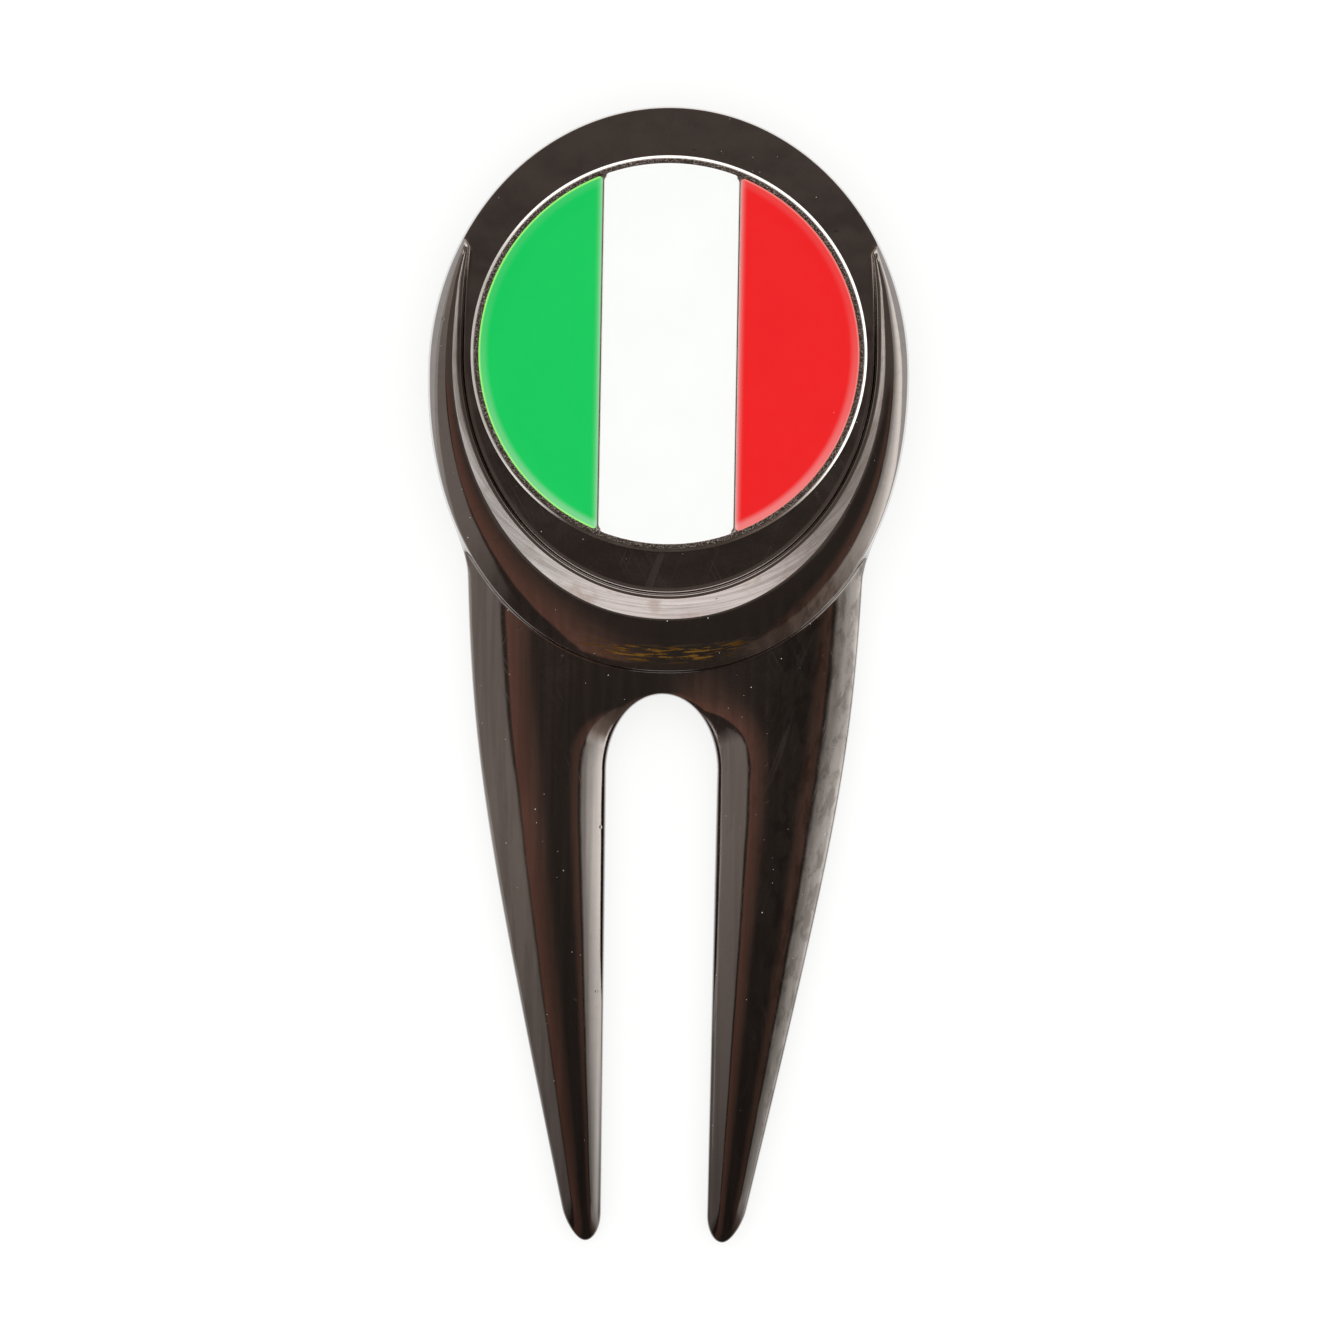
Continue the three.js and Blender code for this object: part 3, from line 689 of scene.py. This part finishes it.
def casting_material():
    """Black-nickel plating over a polished zinc casting, with gentle waves, hairlines, a few pits,
    dust, a little tarnish and painted shade towards the prongs' tips."""
    material, tree, shader = new_material("black_nickel_casting")
    where = object_place(tree)
    x, y = axes(tree, where)[:2]
    below_head = calculate(tree, "MULTIPLY_ADD", calculate(tree, "ABSOLUTE", x), -0.6, y)
    on_fork = mapped(tree, below_head, (CENTRE_Y - 19) * MM, (CENTRE_Y - 21) * MM)
    fork_right_side = product(tree, on_fork, mapped(tree, x, 5 * MM, 8 * MM))
    fine = noise(tree, where, 0.12, detail=3.0, roughness=0.6)
    hairs = scratches(tree, where, 0.5, 0.8)
    hairs = calculate(tree, "MAXIMUM", hairs, scratches(tree, where, -0.35, 1.1))
    dust = specks(tree, where, 0.9, 0.045, 0.3)
    dust = calculate(tree, "MAXIMUM", dust, specks(tree, where, 0.5, 0.05, 0.3))
    pits = specks(tree, where, 1.3, 0.11, 0.12)
    tarnish = tarnish_streaks(tree, where)

    colour = plating_colour_with_painted_shade(tree, where, on_fork, fork_right_side)
    colour = mixed(tree, mapped(tree, tarnish, 0.0, 0.25), colour, TARNISH)
    dull = calculate(tree, "MAXIMUM", product(tree, tarnish, 0.8), dust)
    polish = mapped(tree, fine, 0.3, 0.7, 0.05, 0.11)
    scuffed = calculate(tree, "MULTIPLY_ADD", hairs, 0.1, polish)
    waves = bumped(tree, noise(tree, where, 3.2, detail=1.5), 0.022)
    ripple = noise(tree, stretched(tree, where, (1, 0.25, 1)), 0.9, detail=2.0)
    ripple = bumped(tree, ripple, 0.0022, waves)
    ragged = bumped(tree, noise(tree, where, 0.4, detail=3.0), 0.0005, ripple)
    cut = bumped(tree, hairs, -0.0007, ragged)
    dimpled = bumped(tree, pits, -0.008, cut)
    feed(tree, shader, {
        "Base Color": mixed(tree, dust, colour, DUST),
        "Metallic": calculate(tree, "SUBTRACT", 1.0, dull),
        "Roughness": calculate(tree, "MULTIPLY_ADD", dust, 0.4, scuffed),
        "Normal": bumped(tree, dust, 0.02, dimpled),
    })
    return material


def bevel_material():
    """The cradle's bevel: the same plating with fine marks along its arc, lighter and rougher towards the
    arms.
    """
    material, tree, shader = new_material("brushed_bevel")
    where = object_place(tree)
    polar = round_marker(tree, where)[0]
    marks = noise(tree, stretched(tree, polar, (0.045, 1, 1)), 0.06, detail=3.0, roughness=0.6)
    long_marks = noise(tree, stretched(tree, polar, (0.02, 1, 1)), 0.16, detail=4.0, roughness=0.65)
    blotch = noise(tree, where, 1.4, detail=3.0)
    nicks = specks(tree, stretched(tree, where, (0.5, 1, 1), 0.4), 0.8, 0.09, 0.14)
    dark, light = (0.185, 0.17, 0.165, 1), (0.31, 0.3, 0.298, 1)
    tint = mixed(tree, mapped(tree, long_marks, 0.35, 0.65), dark, light)
    tint = mixed(tree, mapped(tree, marks, 0.56, 0.72, 0.0, 0.5), tint, (0.38, 0.375, 0.375, 1))
    tint = mixed(tree, mapped(tree, blotch, 0.52, 0.7, 0.0, 0.7), tint, (0.18, 0.15, 0.135, 1))
    y = axes(tree, where)[1]
    # Lighter and rougher towards the arms: the tint is scaled up to 2.7 times from low on the cradle up along
    # the arms.
    towards_arm_ends = mapped(tree, y, (CENTRE_Y - 12) * MM, (CENTRE_Y - 1) * MM, 1.0, 2.7)
    tint = scaled(tree, tint, towards_arm_ends)
    polish = mapped(tree, marks, 0.25, 0.75, 0.10, 0.26)
    feed(tree, shader, {
        "Base Color": mixed(tree, product(tree, nicks, 0.7), tint, (0.06, 0.045, 0.04, 1)),
        "Metallic": 1.0,
        "Roughness": calculate(tree, "MULTIPLY_ADD", towards_arm_ends, 0.12, polish),
        "Normal": bumped(tree, marks, 0.004),
    })
    return material


# ------------------------------------------------------------------ marker, magnet and adhesive

MARKER = dict(
    radius=12.5, bevel_width=0.2, bevel_drop=0.175, edge_round=0.03, back_round=0.15,
    band_radius=12.0, rib_x=4.3, rib_width=0.12,
)
TOP_Z = coin_high.z / MM
ENAMEL = dict(
    floor_z=TOP_Z - 0.35,
    edge_z=TOP_Z - 0.04,  # where the fill creeps up the rim
    middle_z=TOP_Z - 0.2,
    meniscus=0.42,
    meniscus_power=1.3,
    reach=1.5,  # how far in from the rim the fill's surface is stepped
    gap=0.004,
)
FIELD_CORNER = dict(side=0.2, middle=0.45)
RIB_HALF = MARKER["rib_width"] / 2
RIB_ROUND = 0.04
RIB_BURIED = 0.03  # how far the ribs' ends reach into the rim
RIB_END = 0.1  # length at each end that is moved out to reach it
RIB_SUNK = 0.05  # how far the ribs' feet reach into the field
FIELD_SHOWN = 1.0  # width of the field's floor that is modelled, inwards from the rim
MAGNET_ROUND = 0.2
SIDE_STEPS = 64
TURN_STEPS = 256
FILL_STEPS = 18
BANDS = dict(
    enamel_green=(-MARKER["band_radius"], -MARKER["rib_x"] - RIB_HALF, FIELD_CORNER["side"]),
    enamel_white=(-MARKER["rib_x"] + RIB_HALF, MARKER["rib_x"] - RIB_HALF, FIELD_CORNER["middle"]),
    enamel_red=(MARKER["rib_x"] + RIB_HALF, MARKER["band_radius"], FIELD_CORNER["side"]),
)


def band_loop(left, right, corner, inwards):
    """A field of the marker as a closed loop, anticlockwise, with rounded corners, moved inwards."""
    core = max(corner, inwards)
    radius = MARKER["band_radius"] - core
    low = math.acos((right - core) / radius) if right < MARKER["band_radius"] else 0
    high = math.acos((left + core) / radius) if left > -MARKER["band_radius"] else math.pi
    shares = np.linspace(0, 1, SIDE_STEPS + 1)
    loop = []
    facing = []
    for start, end, straight in ((low, high, math.pi), (-high, -low, 0)):
        turns = lerp(start, end, shares)
        on_arc = radius * np.column_stack([np.cos(turns), np.sin(turns)])
        first = on_arc[-1]
        second = first * (1, -1)
        loop += [on_arc, np.tile(first, (CORNER_STEPS, 1))]
        loop += [lerp(first, second, shares[1:-1, None]), np.tile(second, (CORNER_STEPS, 1))]
        facing += [turns, np.linspace(end, straight, CORNER_STEPS + 1)[1:]]
        facing += [np.full(SIDE_STEPS - 1, straight)]
        facing += [np.linspace(straight, 2 * straight - end, CORNER_STEPS + 1)[:-1]]
    facing = np.concatenate(facing)
    return np.vstack(loop) + (core - inwards) * np.column_stack([np.cos(facing), np.sin(facing)])


def loft(loops):
    """Points and faces of a closed body through equal loops, each anticlockwise seen from above."""
    count = len(loops[0])
    points = np.vstack(loops)
    faces = [list(range(count))[::-1], [len(points) - count + i for i in range(count)]]
    for base in range(0, len(points) - count, count):
        for i in range(count):
            j = (i + 1) % count
            faces.append([base + i, base + j, base + count + j, base + count + i])
    return points, faces


def turned(profile):
    """A body turned about the marker's axis, from the edge of its bottom to the edge of its top."""
    turns = np.linspace(0, 2 * math.pi, TURN_STEPS, endpoint=False)
    circle = np.column_stack([np.cos(turns), np.sin(turns)])
    return loft([with_height(circle * radius, z) for radius, z in profile])


def arc(centre, radius, start, end):
    turns = np.radians(np.linspace(start, end, CORNER_STEPS + 1))
    return [(centre[0] + radius * math.cos(turn), centre[1] + radius * math.sin(turn)) for turn in turns]


def joined(bodies):
    points = []
    faces = []
    for body_points, body_faces in bodies:
        shift = len(points)
        points.extend(body_points.tolist())
        faces.extend([[v + shift for v in face] for face in body_faces])
    return points, faces


def rib_side(x, side, inset_by):
    """One long side of a rib, from its lower end to its upper; it flares round the fields' corners."""
    corner = FIELD_CORNER["middle" if side * x < 0 else "side"]
    end_y = math.sqrt(MARKER["band_radius"] ** 2 - (x + side * RIB_HALF) ** 2)
    turns = np.linspace(0, math.pi / 2, CORNER_STEPS + 1)[::-1]
    upper_y = end_y - corner * (1 - np.cos(turns))
    y = np.concatenate([-upper_y[::-1], upper_y])
    into_corner = (np.abs(y) - end_y + corner) / corner
    flare = corner * (1 - np.sqrt(np.clip(1 - into_corner**2, 0, 1)))
    return np.column_stack([x + side * (RIB_HALF - inset_by + flare), y])


def rib(x):
    """One rib between two fields; its ends are buried in the rim."""
    reach = MARKER["band_radius"] + RIB_BURIED
    levels = [(0, ENAMEL["floor_z"] - RIB_SUNK)]
    levels += [(RIB_ROUND - shift, z) for shift, z in arc((0, TOP_Z - RIB_ROUND), RIB_ROUND, 0, 90)]
    loops = []
    for inset_by, z in levels:
        loop = np.vstack([rib_side(x, 1, inset_by), rib_side(x, -1, inset_by)[::-1]])
        length = np.linalg.norm(loop, axis=1)
        end = np.abs(loop[:, 1]) >= np.abs(loop[:, 1]).max() - RIB_END
        loop[end] *= (reach / length[end])[:, None]
        loops.append(with_height(loop, z))
    points, faces = loft(loops)
    half = len(loops[0]) // 2
    top = len(points) - 2 * half
    other = top + 2 * half - 1
    crossing = [[top + i, top + i + 1, other - 1 - i, other - i] for i in range(half - 1)]
    return points, faces[2:] + crossing


def blank_mesh():
    """The stamped blank: a rounded disc with a sunk field and two ribs across it."""
    back = MARKER["back_round"]
    field = MARKER["band_radius"]
    low = coin_low.z / MM
    side = (MARKER["radius"], TOP_Z - MARKER["bevel_drop"])
    rim = (MARKER["radius"] - MARKER["bevel_width"], TOP_Z)
    profile = arc((MARKER["radius"] - back, low + back), back, -90, 0)
    profile += rounded(side, profile[-1], rim, MARKER["edge_round"]).tolist()
    profile += rounded(rim, side, (field, TOP_Z), MARKER["edge_round"]).tolist()
    profile += arc((field + RIB_ROUND, TOP_Z - RIB_ROUND), RIB_ROUND, 90, 180)
    profile += [(field, ENAMEL["floor_z"]), (field - FIELD_SHOWN, ENAMEL["floor_z"])]
    bodies = [turned(profile), rib(-MARKER["rib_x"]), rib(MARKER["rib_x"])]
    return make_mesh("marker_blank_look", *joined(bodies))


def enamel_mesh(name, left, right, corner):
    """One enamel fill: nearly flush at its border and sunk a little towards its middle."""
    gap = ENAMEL["gap"]
    border = band_loop(left, right, corner, gap)
    loops = [with_height(border, z) for z in (ENAMEL["floor_z"], ENAMEL["edge_z"])]
    for step in range(1, FILL_STEPS + 1):
        inwards = ENAMEL["reach"] * (step / FILL_STEPS) ** 2
        sunk = 1 - math.exp(-((inwards / ENAMEL["meniscus"]) ** ENAMEL["meniscus_power"]))
        z = lerp(ENAMEL["edge_z"], ENAMEL["middle_z"], sunk)
        loops.append(with_height(band_loop(left, right, corner, gap + inwards), z))
    return make_mesh(name, *loft(loops))


def magnet_mesh():
    radius = (magnet_high.x - magnet_low.x) / 2 / MM - MAGNET_ROUND
    profile = arc((radius, magnet_low.z / MM + MAGNET_ROUND), MAGNET_ROUND, -90, 0)
    profile += arc((radius, magnet_high.z / MM - MAGNET_ROUND), MAGNET_ROUND, 0, 90)
    return make_mesh("magnet_look", *turned(profile))


def adhesive_mesh():
    """A thin glue film with a bulging rim."""
    radius = (adhesive_high.x - adhesive_low.x) / 2 / MM
    low = adhesive_low.z / MM
    bulge = (adhesive_high.z / MM - low) / 2
    return make_mesh("adhesive_look", *turned(arc((radius - bulge, low + bulge), bulge, -90, 90)))


def magnet_material():
    """Dull nickel over a sintered magnet: turned rings, scuffs and a soft sheen."""
    material, tree, shader = new_material("magnet_nickel")
    where = object_place(tree)
    polar = round_marker(tree, where)[0]
    rings = noise(tree, stretched(tree, polar, (0.02, 1, 1)), 0.15, detail=2.0)
    scuffs = noise(tree, where, 1.2, detail=4.0, roughness=0.6)
    dark, light = (0.3, 0.29, 0.28, 1), (0.37, 0.36, 0.35, 1)
    feed(tree, shader, {
        "Base Color": mixed(tree, mapped(tree, scuffs, 0.35, 0.65), dark, light),
        "Metallic": 1.0,
        "Roughness": mapped(tree, scuffs, 0.3, 0.7, 0.18, 0.32),
        "Normal": bumped(tree, scratches(tree, where, 0.4, 0.5), -0.001, bumped(tree, rings, 0.0015)),
    })
    return material


def nickel_material():
    """Bright nickel over a stamped blank: soft gloss, fine scratches, a dark and grainy struck rim."""
    material, tree, shader = new_material("stamped_nickel")
    where = object_place(tree)
    height = axes(tree, where)[2]
    radius = round_marker(tree, where)[2]
    rim_edge = MARKER["radius"] - MARKER["bevel_width"]
    field = MARKER["band_radius"]
    on_top = mapped(tree, height, (TOP_Z - 0.06) * MM, (TOP_Z - 0.02) * MM)
    inside = mapped(tree, radius, (rim_edge - 0.02) * MM, (rim_edge + 0.05) * MM, 1.0, 0.0)
    beyond_field = mapped(tree, radius, (field - 0.12) * MM, field * MM)
    struck = product(tree, on_top, product(tree, inside, beyond_field))
    grain = noise(tree, where, 0.09, detail=3.0, roughness=0.7)
    patches = noise(tree, where, 1.6, detail=2.0)
    dark, light = (0.62, 0.6, 0.57, 1), (0.7, 0.68, 0.66, 1)
    plain = mixed(tree, mapped(tree, patches, 0.35, 0.65), dark, light)
    pitted, raised = (0.07, 0.052, 0.042, 1), (0.5, 0.47, 0.44, 1)
    grained = mixed(tree, mapped(tree, grain, 0.5, 0.66), pitted, raised)
    polish = mapped(tree, patches, 0.3, 0.7, 0.12, 0.2)
    fine = bumped(tree, scratches(tree, where, 0.9, 0.5), -0.001)
    feed(tree, shader, {
        "Base Color": mixed(tree, struck, plain, grained),
        "Metallic": 1.0,
        "Roughness": calculate(tree, "MULTIPLY_ADD", struck, 0.25, polish),
        "Normal": bumped(tree, product(tree, grain, struck), 0.05, fine),
    })
    return material


# The first two are colours of painted highlights on the enamel, along the rim and beside the ribs; the third
# is of pale specks in it.
RIM_HIGHLIGHT_COLOUR = (0.9, 0.92, 0.9, 1)
RIB_HIGHLIGHT_COLOUR = (0.85, 0.87, 0.83, 1)
SPECK = (0.9, 0.9, 0.88, 1)


def enamel_material(name, colour, edge_colour):
    """Fired enamel: an even glossy colour with an edge colour where it thins out right at the rim; painted
    highlights pale it along the rim, more so low down, and beside the ribs.
    """
    material, tree, shader = new_material(name)
    where = object_place(tree)
    x, y = axes(tree, where)[:2]
    y = calculate(tree, "SUBTRACT", y, CENTRE_Y * MM)
    radius = round_marker(tree, where)[2]
    border = MARKER["band_radius"]
    cloud = noise(tree, where, 4.0, detail=3.0)
    shade = [channel * 0.98 for channel in colour]
    body = mixed(tree, mapped(tree, cloud, 0.35, 0.65), (*shade, 1), (*colour, 1))
    body = mixed(tree, product(tree, specks(tree, where, 1.3, 0.035, 0.1), 0.35), body, SPECK)
    # Painted highlight: the fill is paled along the rim, more so towards the bottom of the marker.
    near_rim = mapped(tree, radius, (border - 0.7) * MM, (border - 0.25) * MM, smooth=True)
    stronger_low_down = mapped(tree, y, 3.0 * MM, -9.0 * MM, 0.04, 0.2)
    body = mixed(tree, product(tree, near_rim, stronger_low_down), body, RIM_HIGHLIGHT_COLOUR)
    # Painted highlight beside each rib, fading out over 0.55 mm.
    from_rib = calculate(tree, "SUBTRACT", calculate(tree, "ABSOLUTE", x), MARKER["rib_x"] * MM)
    rib_highlight = mapped(tree, from_rib, 0.0, 0.55 * MM, 1.0, 0.0)
    rib_highlight = product(tree, calculate(tree, "POWER", rib_highlight, 2.5), 0.45)
    body = mixed(tree, rib_highlight, body, RIB_HIGHLIGHT_COLOUR)
    at_rim = mapped(tree, radius, (border - 0.16) * MM, (border - 0.04) * MM, smooth=True)
    peel = bumped(tree, noise(tree, where, 1.4, detail=1.0), 0.004)
    feed(tree, shader, {
        "Base Color": mixed(tree, at_rim, body, (*edge_colour, 1)),
        "Roughness": mapped(tree, noise(tree, where, 0.8, detail=3.0), 0.3, 0.7, 0.06, 0.12),
        "IOR": 1.52,
        "Specular IOR Level": 0.2,
        "Normal": bumped(tree, noise(tree, where, 0.25, detail=2.0), 0.0004, peel),
    })
    return material


def adhesive_material():
    """Cured amber adhesive, a little cloudy and uneven."""
    material, tree, shader = new_material("amber_glue")
    where = object_place(tree)
    cloud = noise(tree, where, 1.5, detail=3.0)
    feed(tree, shader, {
        "Base Color": mixed(tree, cloud, (0.32, 0.15, 0.03, 1), (0.5, 0.27, 0.07, 1)),
        "Roughness": mapped(tree, cloud, 0.3, 0.7, 0.2, 0.4),
        "Normal": bumped(tree, cloud, 0.02),
    })
    return material


# ------------------------------------------------------------------ pieces

CREASE = dict(casting=40, small_part=50)  # degrees from which an edge stays hard

casting = make_piece(
    "tool_casting", casting_mesh(), [casting_material(), bevel_material()],
    "tool", "tool_body",
)
even_normals(casting, CREASE["casting"])
blank = make_piece(
    "marker_blank_look", blank_mesh(), [nickel_material()],
    "marker", "marker_blank",
)
even_normals(blank, CREASE["small_part"])
ENAMEL_COLOURS = dict(
    enamel_green=((0.009, 0.545, 0.104), (0.35, 0.9, 0.2)),
    enamel_white=((0.93, 0.935, 0.925), (0.95, 0.95, 0.93)),
    enamel_red=((0.8, 0.0165, 0.018), (0.85, 0.22, 0.19)),
)
for node, (left, right, corner) in BANDS.items():
    colour = node.removeprefix("enamel_")
    mesh = enamel_mesh(colour + "_fill", left, right, corner)
    look = enamel_material(colour + "_enamel", *ENAMEL_COLOURS[node])
    fill = make_piece(colour + "_fill", mesh, [look], "marker", node)
    even_normals(fill, CREASE["small_part"])
magnet = make_piece("magnet_look", magnet_mesh(), [magnet_material()], "tool", "magnet")
even_normals(magnet, CREASE["small_part"])
make_piece("adhesive_look", adhesive_mesh(), [adhesive_material()], "tool", "magnet_adhesive")

# ------------------------------------------------------------------ stage: floor, camera, light

FLOOR_RADIUS = 300
FLOOR_STEPS = 96
FLOOR_GAP = 0.02  # keeps the floor just clear of the tool's flat back
FRAME_WIDTH = 83.35
FRAME_CENTRE = (-0.26, -19.27)  # where the camera looks, from the marker's centre
FRAME_Z = 1.8  # the height at which the frame has its full width
ROLL = math.radians(1.0)  # the tool lies a little turned under the camera
LENS = 300
SENSOR = 36
MIRROR_STRENGTH = 3.7  # over the plating's own reflectance, so the colours here are those it shows
SOFT_STRENGTH = 1.12


def add_floor():
    mesh = bpy.data.meshes.new("floor")
    turns = [2 * math.pi * step / FLOOR_STEPS for step in range(FLOOR_STEPS)]
    radius = FLOOR_RADIUS * MM
    ring = [(radius * math.cos(turn), radius * math.sin(turn), -FLOOR_GAP * MM) for turn in turns]
    mesh.from_pydata(ring, [], [list(range(FLOOR_STEPS))])
    floor = bpy.data.objects.new("floor", mesh)
    bpy.context.scene.collection.objects.link(floor)
    material, tree, shader = new_material("floor_paper")
    feed(tree, shader, {
        "Base Color": (0.25, 0.25, 0.249, 1),
        "Emission Color": (1, 1, 0.995, 1),
        "Emission Strength": 0.76,
        "Roughness": 0.9,
        "Specular IOR Level": 0.1,
    })
    mesh.materials.append(material)


def add_camera():
    data = bpy.data.cameras.new("camera")
    data.lens = LENS
    data.sensor_width = SENSOR
    data.clip_start = 0.01
    data.clip_end = 10
    camera = bpy.data.objects.new("camera", data)
    height = FRAME_WIDTH * LENS / SENSOR + FRAME_Z
    camera.location = (FRAME_CENTRE[0] * MM, (CENTRE_Y + FRAME_CENTRE[1]) * MM, height * MM)
    camera.rotation_euler = (0, 0, ROLL)
    bpy.context.scene.collection.objects.link(camera)
    bpy.context.scene.camera = camera


def ramp(tree, share, stops):
    node = add(tree, "ShaderNodeValToRGB", {"Fac": share})
    band = node.color_ramp
    while len(band.elements) < len(stops):
        band.elements.new(0.5)
    for element, (position, colour) in zip(band.elements, stops):
        element.position = position
    for element, (position, colour) in zip(band.elements, stops):
        element.color = (*colour, 1)
    return node.outputs["Color"]


def studio_directions(tree):
    """Angles in degrees from straight up: in all, towards +X and towards +Y; and the turn round the
    tool as a share, from 0 at -X through 0.25 at -Y, 0.5 at +X and 0.75 at +Y."""
    where = add(tree, "ShaderNodeTexCoord").outputs["Generated"]
    wobble = add(tree, "ShaderNodeTexNoise", {"Vector": where, "Scale": 4.0, "Detail": 3.0}).outputs["Fac"]
    wobble = calculate(tree, "SUBTRACT", wobble, 0.5)
    x, y, z = axes(tree, where)
    zenith = calculate(tree, "DEGREES", calculate(tree, "ARCCOSINE", z))
    zenith = calculate(tree, "MULTIPLY_ADD", wobble, 12.0, zenith)
    sideways = calculate(tree, "DEGREES", calculate(tree, "ARCTAN2", x, z))
    sideways = calculate(tree, "MULTIPLY_ADD", wobble, 10.0, sideways)
    lengthways = calculate(tree, "DEGREES", calculate(tree, "ARCTAN2", y, z))
    turn = calculate(tree, "MULTIPLY_ADD", calculate(tree, "ARCTAN2", y, x), 0.5 / math.pi, 0.5)
    return zenith, sideways, lengthways, turn


def overhead_colour(tree, sideways, lengthways):
    """The dark room above: black with brown walls at both sides, a little warmer beyond the head."""
    black = (0.0185, 0.0145, 0.0125)
    across = ramp(tree, mapped(tree, sideways, -60, 60), [
        (0.0, black), (0.2, black),
        (0.215, (0.087, 0.043, 0.032)), (0.32, (0.07, 0.037, 0.028)), (0.41, (0.042, 0.026, 0.021)),
        (0.47, (0.022, 0.0165, 0.0138)), (0.5, black), (0.72, black),
        (0.8, (0.05, 0.029, 0.022)), (0.87, (0.06, 0.034, 0.026)), (0.89, black),
    ])
    beyond_head = mapped(tree, lengthways, 0.5, 3.0, smooth=True)
    return mixed(tree, beyond_head, across, (0.0556, 0.0457, 0.0407, 1))


def surrounding_colour(tree, zenith, sideways, turn):
    """What stands round the tool: soft boxes at the right and beyond the head, a grey wall at the
    left, darkness towards the prongs, and the pale table near the horizon."""
    grey = (0.118, 0.103, 0.095)
    dark = (0.022, 0.016, 0.013)
    around = ramp(tree, turn, [
        (0.0, grey), (0.06, grey), (0.12, dark), (0.3, dark), (0.35, (0.065, 0.047, 0.039)),
        (0.4, (0.13, 0.105, 0.09)), (0.46, (0.6, 0.59, 0.57)), (0.55, (0.68, 0.67, 0.655)),
        (0.62, (0.66, 0.64, 0.62)), (0.72, (0.72, 0.665, 0.64)), (0.83, (0.68, 0.62, 0.595)),
        (0.88, (0.16, 0.138, 0.122)), (1.0, grey),
    ])
    at_right = product(tree, mapped(tree, turn, 0.4, 0.46), mapped(tree, turn, 0.66, 0.58))
    above_box = product(tree, at_right, mapped(tree, sideways, 80.0, 56.0, 0.0, 0.8))
    around = mixed(tree, above_box, around, (0.08, 0.07, 0.06, 1))
    by_prongs = product(tree, mapped(tree, turn, 0.1, 0.16), mapped(tree, turn, 0.42, 0.36))
    near_horizon = mapped(tree, zenith, 78.0, 81.5, smooth=True)
    on_table = product(tree, near_horizon, calculate(tree, "SUBTRACT", 1.0, by_prongs))
    at_left = calculate(tree, "MAXIMUM", mapped(tree, turn, 0.14, 0.08), mapped(tree, turn, 0.86, 0.92))
    table = mixed(tree, at_left, (0.66, 0.64, 0.62, 1), (0.22, 0.21, 0.2, 1))
    return mixed(tree, on_table, around, table)


def beyond_overhead(tree, zenith, turn):
    """How far a direction lies past the dark room's edge, whose angle depends on the turn."""
    edges = [(0.0, 0.38), (0.08, 0.42), (0.15, 0.66), (0.3, 0.5), (0.5, 0.5), (0.75, 0.36), (1.0, 0.38)]
    edge = ramp(tree, turn, [(position, (share,) * 3) for position, share in edges])
    degrees = product(tree, add(tree, "ShaderNodeRGBToBW", {"Color": edge}).outputs[0], 100)
    return mapped(tree, calculate(tree, "SUBTRACT", zenith, degrees), -1.5, 1.5)


def add_studio():
    """The studio as polished metal mirrors it. Matt surfaces get an even light, and the camera sees
    a plain pale backdrop."""
    world = bpy.data.worlds.new("studio")
    bpy.context.scene.world = world
    world.use_nodes = True
    tree = world.node_tree
    tree.nodes.clear()
    zenith, sideways, lengthways, turn = studio_directions(tree)
    overhead = overhead_colour(tree, sideways, lengthways)
    around = surrounding_colour(tree, zenith, sideways, turn)
    mirrored = mixed(tree, beyond_overhead(tree, zenith, turn), overhead, around)

    paths = add(tree, "ShaderNodeLightPath")
    mirror_light = add(tree, "ShaderNodeBackground", {"Color": mirrored, "Strength": MIRROR_STRENGTH})
    soft_light = add(tree, "ShaderNodeBackground", {"Color": (1, 1, 1, 1), "Strength": SOFT_STRENGTH})
    backdrop = add(tree, "ShaderNodeBackground", {"Color": (0.98, 0.98, 0.98, 1), "Strength": 1.0})
    by_gloss = {0: paths.outputs["Is Glossy Ray"], 1: soft_light.outputs[0], 2: mirror_light.outputs[0]}
    light = add(tree, "ShaderNodeMixShader", by_gloss)
    by_camera = {0: paths.outputs["Is Camera Ray"], 1: light.outputs[0], 2: backdrop.outputs[0]}
    whole = add(tree, "ShaderNodeMixShader", by_camera)
    add(tree, "ShaderNodeOutputWorld", {"Surface": whole.outputs[0]})


add_floor()
add_camera()
add_studio()
bpy.context.scene.view_settings.view_transform = "Standard"
